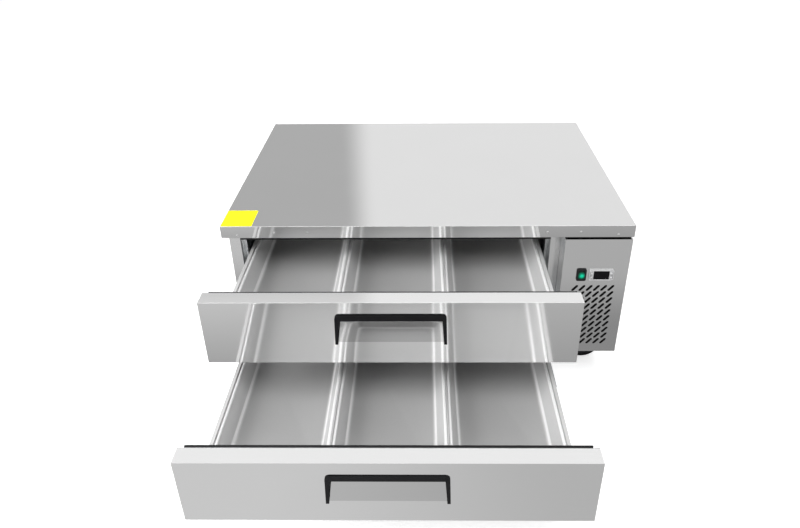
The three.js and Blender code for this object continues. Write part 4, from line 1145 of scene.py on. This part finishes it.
@dataclass
class CabinetShell(Assembly):
    """The worktop, the outer panels, the base and the lining, with the screws and the corner film."""

    screw_radius: float = 4.2 * MM
    screw_height: float = 2.0 * MM
    screw_sink: float = 0.3 * MM
    screw_rim: float = 0.2
    screw_steps: tuple[int, int] = (5, 20)
    end_screw: Pair = (52 * MM, 33 * MM)
    inner_screws: Pair = (172 * MM, 278 * MM)
    inner_screw_drop: float = 23 * MM
    film_low: Pair = (1.0 * MM, 3.0 * MM)
    film_size: Pair = (100 * MM, 96 * MM)
    film_corner: float = 2.0 * MM
    film_steps: int = 5
    film_sink: float = 0.05 * MM
    film_thickness: float = 0.15 * MM
    panel_screw_inset: float = 10 * MM
    back_screw_count: int = 7
    side_screw_count: int = 3
    trim_drop: Pair = (47 * MM, 30 * MM)
    trim_inset: float = 1.7 * MM
    trim_thickness: float = 3 * MM
    front_cover: float = 22 * MM
    top_fold: float = 1.4 * MM
    panel_fold: float = 0.8 * MM
    plate_fold: float = 0.5 * MM
    thin_fold: float = 0.4 * MM
    trim_fold: float = 0.6 * MM

    def dress(self) -> None:
        """Gives the shell's nodes their finishes."""
        finishes = self.finishes
        self.coat(finishes.top, self.top_fold, "worktop", segments=FINE_STEPS)
        self.coat(finishes.side, self.panel_fold, "left_side_panel", "right_side_panel")
        self.coat(finishes.zinc, self.thin_fold, "back_panel")
        self.coat(finishes.face, self.panel_fold, "face_frame")
        self.coat(finishes.panel, self.plate_fold, "machine_panel")
        self.coat(finishes.zinc, self.plate_fold, "base_panel")
        self.coat(finishes.liner, self.thin_fold, "inner_liner")
        self.coat(finishes.foam, 0.0, "cabinet_insulation")
        self.coat(finishes.gland, self.plate_fold, "cord_gland")

    def dome(self, form: Form, centre: Point, axis: Axis, outward: float) -> None:
        """Adds one low domed screw head.

        Args:
            form: The form it is added to.
            centre: Where it sits on the sheet.
            axis: The axis it stands on.
            outward: One or minus one, the way it faces along that axis.
        """
        radius, height, foot = self.screw_radius, self.screw_height * outward, -self.screw_sink * outward
        rim, (arc_steps, steps) = self.screw_rim, self.screw_steps
        profile = [(0.0, foot), (radius, foot), (radius, rim * height)]
        for angle in quarter(arc_steps)[1:-1]:
            profile.append((radius * math.cos(angle), rim * height + (1 - rim) * height * math.sin(angle)))
        form.turned(profile + [(0.0, height)], centre, axis, steps)

    def skirt_screws(self) -> None:
        """The screws along the skirt, on all four sides."""
        low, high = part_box("worktop")
        form = Form()
        for offset, drop in [self.end_screw] + [(x, self.inner_screw_drop) for x in self.inner_screws]:
            z = high.z - drop
            for x in (low.x + offset, high.x - offset):
                self.dome(form, (x, low.y, z), Axis.Y, 1.0)
                self.dome(form, (x, high.y, z), Axis.Y, -1.0)
            for y in (low.y + offset, high.y - offset):
                self.dome(form, (low.x, y, z), Axis.X, -1.0)
                self.dome(form, (high.x, y, z), Axis.X, 1.0)
        form.piece("skirt_screws", self.finishes.screw, "cabinet", "worktop")

    def panel_screws(self) -> None:
        """The screws round the back panel and down the rear edges of the side panels."""
        low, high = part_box("back_panel")
        inset = self.panel_screw_inset
        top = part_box("worktop")[0].z - inset
        form = Form()
        for i in range(self.back_screw_count):
            x = low.x + inset + (high.x - low.x - 2 * inset) * i / (self.back_screw_count - 1)
            for z in (low.z + inset, top):
                self.dome(form, (x, high.y, z), Axis.Y, -1.0)
        left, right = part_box("left_side_panel"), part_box("right_side_panel")
        for i in range(self.side_screw_count):
            z = low.z + inset + (top - low.z - inset) * i / (self.side_screw_count - 1)
            self.dome(form, (left[0].x, left[1].y - inset, z), Axis.X, -1.0)
            self.dome(form, (right[1].x, right[1].y - inset, z), Axis.X, 1.0)
        form.piece("panel_screws", self.finishes.screw, "cabinet", "body_sheet")

    def corner_film(self) -> None:
        """The plain yellow film stuck to the worktop's front left corner."""
        low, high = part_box("worktop")
        offset, size = self.film_low, self.film_size
        middle = (low.x + offset[0] + size[0] / 2, low.y + offset[1] + size[1] / 2)
        ring = rounded(middle, *size, self.film_corner, self.film_steps)
        form = Form()
        levels = (high.z - self.film_sink, high.z + self.film_thickness)
        form.loft([[(x, y, z) for x, y in ring] for z in levels])
        form.piece("corner_film", self.finishes.patch, "cabinet", "worktop")

    def header_shade_strip(self) -> None:
        """The black strip just inside the upper edge of the drawers' opening: partly a breaker strip, partly
        a dark stand-in for the shade in the gap under the skirt.
        """
        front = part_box("upper_front_skin")
        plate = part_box("face_frame")[0].y + self.trim_inset
        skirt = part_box("worktop")[0].z
        form = Form()
        form.box(
            (front[0].x + self.front_cover, plate, skirt - self.trim_drop[0]),
            (front[1].x - self.front_cover, plate + self.trim_thickness, skirt - self.trim_drop[1]),
        )
        form.piece("header_shade_strip", self.finishes.seal, "cabinet", "seal", fold=self.trim_fold)

    def build(self) -> None:
        """Dresses the shell and builds its small pieces."""
        self.dress()
        self.skirt_screws()
        self.panel_screws()
        self.corner_film()
        self.header_shade_strip()


@dataclass
class FoodPan:
    """One pressed pan, lofted with finer rims, corners and fillets than its CAD solid."""

    tier: Tier
    place: PanPlace
    rim: float = 8 * MM
    edge: float = 3 * MM
    taper: float = 18 * MM
    fillet: float = 14 * MM
    corner: float = 40 * MM
    least_corner: float = 10 * MM
    wall: float = 1 * MM
    bead_drop: float = 9 * MM
    bead: float = 1.6 * MM
    bead_shares: Pair = (0.2, 0.6)
    corner_steps: int = 9
    fillet_steps: int = 6
    rim_steps: int = 4
    shade: float = 0.45
    # The bright level is the grey of the painted highlight at the pan's fillet and rim.
    bright: float = 0.97

    def profile(self, depth: float) -> list[Pair]:
        """The pan's section as pairs of inset and height, from its inner floor round the rim to its outside.

        Args:
            depth: The pan's depth.

        Returns:
            The section's points.
        """
        rim, edge, taper, fillet, wall = self.rim, self.edge, self.taper, self.fillet, self.wall
        bends, rolls = quarter(self.fillet_steps), quarter(self.rim_steps)

        def bend(inset: float, floor: float, angle: float) -> Pair:
            """One point of a fillet that rises from a floor to a wall."""
            return (inset + fillet * (1 - math.sin(angle)), floor + fillet * (1 - math.cos(angle)))

        points = [bend(rim + taper, wall - depth, angle) for angle in bends]
        share = (depth - wall - fillet - self.bead_drop) / (depth - wall - fillet - edge)
        inset = rim + taper * (1 - share)
        outward, inward = self.bead_shares
        points.append((inset + self.bead * outward, -self.bead_drop - self.bead))
        points.append((inset - self.bead * inward, -self.bead_drop))
        points += [(rim - edge * (1 - math.cos(angle)), -edge + edge * math.sin(angle)) for angle in rolls]
        roll = edge / 2
        points += [(roll * (1 - math.sin(angle)), -roll * (1 - math.cos(angle))) for angle in rolls[1:]]
        points += [(0.0, -edge), (wall, -edge), (wall, -wall), (rim - edge, -wall)]
        points.append((rim - wall, -edge - wall / 2))
        return points + [bend(rim + taper - wall, -depth, angle) for angle in reversed(bends)]

    def build(self) -> None:
        """Builds the pan and hides its CAD solid."""
        node = f"{self.tier.value}_{self.place.value}_pan"
        low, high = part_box(node)
        width, length = high.x - low.x, high.y - low.y
        rings = []
        for inset, height in self.profile(high.z - low.z):
            radius = max(self.corner - inset, self.least_corner)
            outline = (width - 2 * inset, length - 2 * inset, radius, self.corner_steps)
            rings.append([(x, y, high.z + height) for x, y in rounded(middle_of(node)[:2], *outline)])
        heights = {"floor": low.z, "top": high.z}
        highlight_gain = self.bright / self.shade
        finish = PanSteel(f"{node}_steel", grey(self.shade), 0.36, metal=0.35, highlight_gain=highlight_gain, **heights)
        form = Form()
        form.loft(rings)
        made = form.piece(f"{node}_pressed", finish, f"{self.tier.value}_drawer", "pan_steel", smooth=50)
        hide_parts(node)


@dataclass
class Drawer(Assembly):
    """One drawer: its front, seal, handle, frame and pans. The seal's section is in shares of its size."""

    tier: Tier
    skin_fold: float = 1.3 * MM
    liner_fold: float = 0.8 * MM
    handle_fold: float = 0.9 * MM
    frame_fold: float = 0.6 * MM
    slide_fold: float = 0.35 * MM
    seal_width: float = 18 * MM
    seal_shares: tuple[Pair, ...] = (
        (0.10, 0.0), (0.0, 0.10), (0.02, 0.35), (0.10, 0.45), (0.10, 0.55), (0.0, 0.65), (0.0, 0.88),
        (0.08, 1.0), (0.92, 1.0), (1.0, 0.88), (1.0, 0.65), (0.90, 0.55), (0.90, 0.45), (0.98, 0.35),
        (1.0, 0.10), (0.90, 0.0), (0.10, 0.0),
    )

    def dress(self) -> None:
        """Gives the drawer's nodes their finishes."""
        name, finishes = self.tier.value, self.finishes
        front = finishes.upper_front if self.tier is Tier.UPPER else finishes.lower_front
        self.coat(front, self.skin_fold, f"{name}_front_skin", segments=FINE_STEPS)
        self.coat(finishes.foam, 0.0, f"{name}_front_foam")
        self.coat(finishes.liner, self.liner_fold, f"{name}_front_liner")
        self.coat(finishes.seal, 0.0, f"{name}_gasket")
        self.coat(finishes.handle, self.handle_fold, f"{name}_handle", segments=FINE_STEPS)
        self.coat(finishes.deck, self.frame_fold, f"{name}_drawer_frame")
        for side in ("left", "right"):
            slide = f"{name}_{side}_slide"
            self.coat(finishes.slide, self.slide_fold, f"{slide}_outer", f"{slide}_middle")

    def seal(self) -> None:
        """The moulded seal: a ribbed profile carried round the front's inner face."""
        name = self.tier.value
        low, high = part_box(f"{name}_gasket")
        rings = []
        for across, along in self.seal_shares:
            inset = across * self.seal_width
            y = low.y + along * (high.y - low.y)
            left, right, foot, head = low.x + inset, high.x - inset, low.z + inset, high.z - inset
            rings.append([(left, y, foot), (right, y, foot), (right, y, head), (left, y, head)])
        form = Form()
        form.loft(rings, closed=False)
        form.close_seam()
        made = form.piece(f"{name}_seal_moulding", self.finishes.seal, f"{name}_drawer", "seal", smooth=60)
        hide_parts(f"{name}_gasket")

    def build(self) -> None:
        """Dresses the drawer and builds its seal and pans."""
        self.dress()
        self.seal()
        for place in PanPlace:
            FoodPan(self.tier, place).build()


@dataclass
class ControlPanel(Assembly):
    """The power switch and the temperature controller."""

    window_size: Pair = (51.6 * MM, 32.6 * MM)
    window_sink: float = 0.1 * MM
    window_depth: float = 1.4 * MM
    window_corner: float = 1.2 * MM
    window_steps: int = 4
    rib_count: int = 3
    rib_pitch: float = 3 * MM
    rib_inset: float = 2.5 * MM
    rib_size: Point = (1.3 * MM, 0.7 * MM, 28 * MM)
    lamp_share: Pair = (0.58, 0.38)
    bezel_fold: float = 0.8 * MM
    button_fold: float = 0.5 * MM
    housing_fold: float = 0.7 * MM
    rocker_fold: float = 0.6 * MM
    window_fold: float = 0.2 * MM
    rib_fold: float = 0.3 * MM

    def dress(self) -> None:
        """Gives the panel's nodes their finishes."""
        finishes = self.finishes
        self.coat(finishes.bezel, self.bezel_fold, "controller_bezel", segments=FINE_STEPS)
        for row in ("upper", "lower"):
            buttons = [f"controller_button_{row}_{side}" for side in ("left", "right")]
            self.coat(finishes.button, self.button_fold, *buttons, segments=FINE_STEPS)
        self.coat(finishes.switch, self.housing_fold, "switch_housing", segments=FINE_STEPS)
        # The rocker's colour holds painted light: a glow over the lamp's spot and painted shade away from
        # it.
        low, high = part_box("switch_rocker")
        across, along = self.lamp_share
        spot = (low.x + across * (high.x - low.x), low.y, low.z + along * (high.z - low.z))
        rocker = PaintedGlowPlastic("rocker_green", (0.0, 0.66, 0.36), 0.25, 3.0 * MM, 0.004 * MM, 0.2, spot=spot)
        self.coat(rocker, self.rocker_fold, "switch_rocker", segments=FINE_STEPS)

    def window(self) -> None:
        """The display's dark window in the bezel's recess."""
        across, _, level = middle_of("controller_bezel")
        ring = rounded((across, level), *self.window_size, self.window_corner, self.window_steps)
        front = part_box("controller_bezel")[0].y + self.window_sink
        form = Form()
        form.loft([[(x, y, z) for x, z in ring] for y in (front, front + self.window_depth)])
        glass = self.finishes.window
        form.piece("controller_window", glass, "cabinet", "controller_plastic", fold=self.window_fold)

    def ribs(self) -> None:
        """The upright grip ribs at both ends of the bezel."""
        low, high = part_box("controller_bezel")
        width, proud, height = self.rib_size
        foot, head = ((low.z + high.z) / 2 + half for half in (-height / 2, height / 2))
        form = Form()
        for i in range(self.rib_count):
            inset = self.rib_inset + i * self.rib_pitch
            for x in (low.x + inset, high.x - inset - width):
                form.box((x, low.y - proud, foot), (x + width, low.y + proud, head))
        grip = self.finishes.rib
        form.piece("controller_ribs", grip, "cabinet", "controller_plastic", fold=self.rib_fold)

    def build(self) -> None:
        """Dresses the panel and builds its window and ribs."""
        self.dress()
        self.window()
        self.ribs()


@dataclass
class CoolingUnit(Assembly):
    """The compressor, the two coils and the two fans."""

    bend_share: float = 0.9
    filter_drop: float = 5 * MM
    filter_thickness: float = 3 * MM
    filter_margin: float = 30 * MM
    filter_fold: float = 0.8 * MM
    shell_fold: float = 1.2 * MM
    housing_fold: float = 0.5 * MM
    thin_fold: float = 0.4 * MM

    def coil(self, node: str) -> FinStock:
        """The finish of one coil, with its fins between the tube bends.

        Args:
            node: The coil's node.

        Returns:
            The finish.
        """
        low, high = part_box(node)
        half = (high.x - low.x) / 2 * self.bend_share
        return FinStock(f"{node}_metal", (0.72, 0.73, 0.74), 0.36, middle_of(node)[0], half)

    def dress(self) -> None:
        """Gives the unit's nodes their finishes."""
        finishes = self.finishes
        self.coat(finishes.paint, self.shell_fold, "compressor")
        for node in ("condenser_coil", "evaporator_coil"):
            self.coat(self.coil(node), 0.0, node)
        self.coat(finishes.zinc, self.thin_fold, "condenser_fan_mount")
        self.coat(finishes.blade, self.thin_fold, "condenser_fan")
        self.coat(finishes.liner, self.housing_fold, "evaporator_housing")
        self.coat(finishes.blade, self.thin_fold, "evaporator_fan")

    def filter(self) -> None:
        """The thin black filter between the slotted panel and the condenser."""
        low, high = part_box("machine_panel")
        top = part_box("condenser_coil")[1].z
        front, margin = low.y + self.filter_drop, self.filter_margin
        form = Form()
        form.box(
            (low.x + margin, front, low.z + margin / 2),
            (high.x - margin, front + self.filter_thickness, top),
        )
        mesh = self.finishes.filter
        form.piece("condenser_filter", mesh, "cabinet", "fan_plastic", fold=self.filter_fold)

    def build(self) -> None:
        """Dresses the unit and builds its filter."""
        self.dress()
        self.filter()


@dataclass
class Caster(Assembly):
    """One swivel caster, with a turned wheel in place of its faceted solid."""

    corner: Corner
    tread_depth: float = 13.5 * MM
    tread_round: float = 7 * MM
    tread_crown: float = 0.7
    tread_steps: int = 8
    shoulder: float = 9.5 * MM
    chamfer: float = 1 * MM
    face_inset: float = 2.5 * MM
    overlap: float = 0.05 * MM
    rim_slope: float = 3.5 * MM
    hub_slope: float = 3 * MM
    hub_radius: float = 20 * MM
    hub_inset: float = 1 * MM
    web_inset: float = 6 * MM
    recess: float = 1.2 * MM
    recess_walls: Pair = (6 * MM, 5 * MM)
    bore: float = 5.4 * MM
    steps: int = 64
    plate_thickness: float = 4 * MM
    bolt_offset: Pair = (41 * MM, 33 * MM)
    bolt_radius: float = 6.4 * MM
    bolt_height: float = 4 * MM
    bolt_sides: int = 6
    washer: Pair = (8 * MM, 1 * MM)
    washer_steps: int = 24
    fork_fold: float = 0.5 * MM
    lever_fold: float = 0.7 * MM
    bolt_fold: float = 0.4 * MM

    def tread_profile(self, radius: float, half: float) -> list[Pair]:
        """The tread's closed section, as pairs of radius and place across the wheel.

        Args:
            radius: The wheel's radius.
            half: Half the wheel's width.

        Returns:
            The section's points.
        """
        inner, shoulder = radius - self.tread_depth, radius - self.shoulder
        bulge = self.tread_round * self.tread_crown
        turns = [math.pi * step / self.tread_steps for step in range(self.tread_steps + 1)]
        flank = half - self.face_inset
        arc = [(radius - bulge * (1 - math.sin(turn)), -math.cos(turn) * flank) for turn in turns]
        start = (inner, -half + self.chamfer)
        return [start, (shoulder, -half), *arc, (shoulder, half), (inner, half - self.chamfer), start]

    def core_profile(self, inner: float, half: float) -> list[Pair]:
        """The core's closed section, as pairs of radius and place across the wheel.

        Args:
            inner: The radius where the tread starts.
            half: Half the wheel's width.

        Returns:
            The section's points.
        """
        face, web, hub = half - self.face_inset, half - self.web_inset, half - self.hub_inset
        rim, floor = self.hub_radius, hub - self.recess
        outer_wall, inner_wall = self.recess_walls
        side = [
            (inner + self.overlap, face), (inner - self.face_inset, face), (inner - self.rim_slope, web),
            (rim + self.hub_slope, web - self.chamfer), (rim, hub - self.chamfer), (rim - self.recess, hub),
            (self.bore + outer_wall, hub), (self.bore + inner_wall, floor), (self.bore, floor),
        ]
        profile = [(radius, -place) for radius, place in reversed(side)] + side
        return profile + profile[:1]

    def wheel(self) -> None:
        """Turns the tread and the core."""
        name, finishes = self.corner.value, self.finishes
        node = f"{name}_caster_wheel"
        low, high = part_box(node)
        centre, half = middle_of(node), (high.y - low.y) / 2
        tread, core = Form(), Form()
        for form, profile in (
            (tread, self.tread_profile(centre[2], half)),
            (core, self.core_profile(centre[2] - self.tread_depth, half)),
        ):
            form.turned(profile, centre, Axis.Y, self.steps)
            form.close_seam()
        made = tread.piece(f"{name}_caster_tread", finishes.tread, node, "wheel_rubber", smooth=40)
        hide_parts(node)
        core.piece(f"{name}_caster_core", finishes.core, node, "wheel_rubber", smooth=40)

    def bolts(self) -> None:
        """The four hexagon bolts that hold the caster's plate, with their washers."""
        name = self.corner.value
        x, y, _ = middle_of(f"{name}_caster_fork")
        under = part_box("left_side_panel")[0].z - self.plate_thickness
        washer_radius, washer_height = self.washer
        depth = washer_height + self.bolt_height
        form = Form()
        for across in (-self.bolt_offset[0], self.bolt_offset[0]):
            for along in (-self.bolt_offset[1], self.bolt_offset[1]):
                for radius, top, foot, steps in (
                    (washer_radius, 0.0, -washer_height, self.washer_steps),
                    (self.bolt_radius, -washer_height, -depth, self.bolt_sides),
                ):
                    profile = [(0.0, top), (radius, top), (radius, foot), (0.0, foot)]
                    form.turned(profile, (x + across, y + along, under), Axis.Z, steps)
        zinc = self.finishes.plated
        form.piece(f"{name}_plate_bolts", zinc, "cabinet", "body_sheet", fold=self.bolt_fold)

    def build(self) -> None:
        """Dresses the caster, turns its wheel and puts in its bolts."""
        name = self.corner.value
        self.coat(self.finishes.plated, self.fork_fold, f"{name}_caster_fork")
        if self.corner in (Corner.FRONT_LEFT, Corner.FRONT_RIGHT):
            self.coat(self.finishes.lever, self.lever_fold, f"{name}_caster_brake_lever")
        self.wheel()
        self.bolts()


def main() -> None:
    """Loads the frame and builds everything round it."""
    logging.basicConfig(level=logging.INFO, format="%(message)s")
    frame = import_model()
    nodes = frame["nodes"]
    finishes = Finishes()
    Studio().build()
    CabinetShell(nodes, finishes).build()
    ControlPanel(nodes, finishes).build()
    CoolingUnit(nodes, finishes).build()
    for tier in Tier:
        Drawer(nodes, finishes, tier).build()
    for corner in Corner:
        Caster(nodes, finishes, corner).build()


if __name__ == "__main__":
    main()
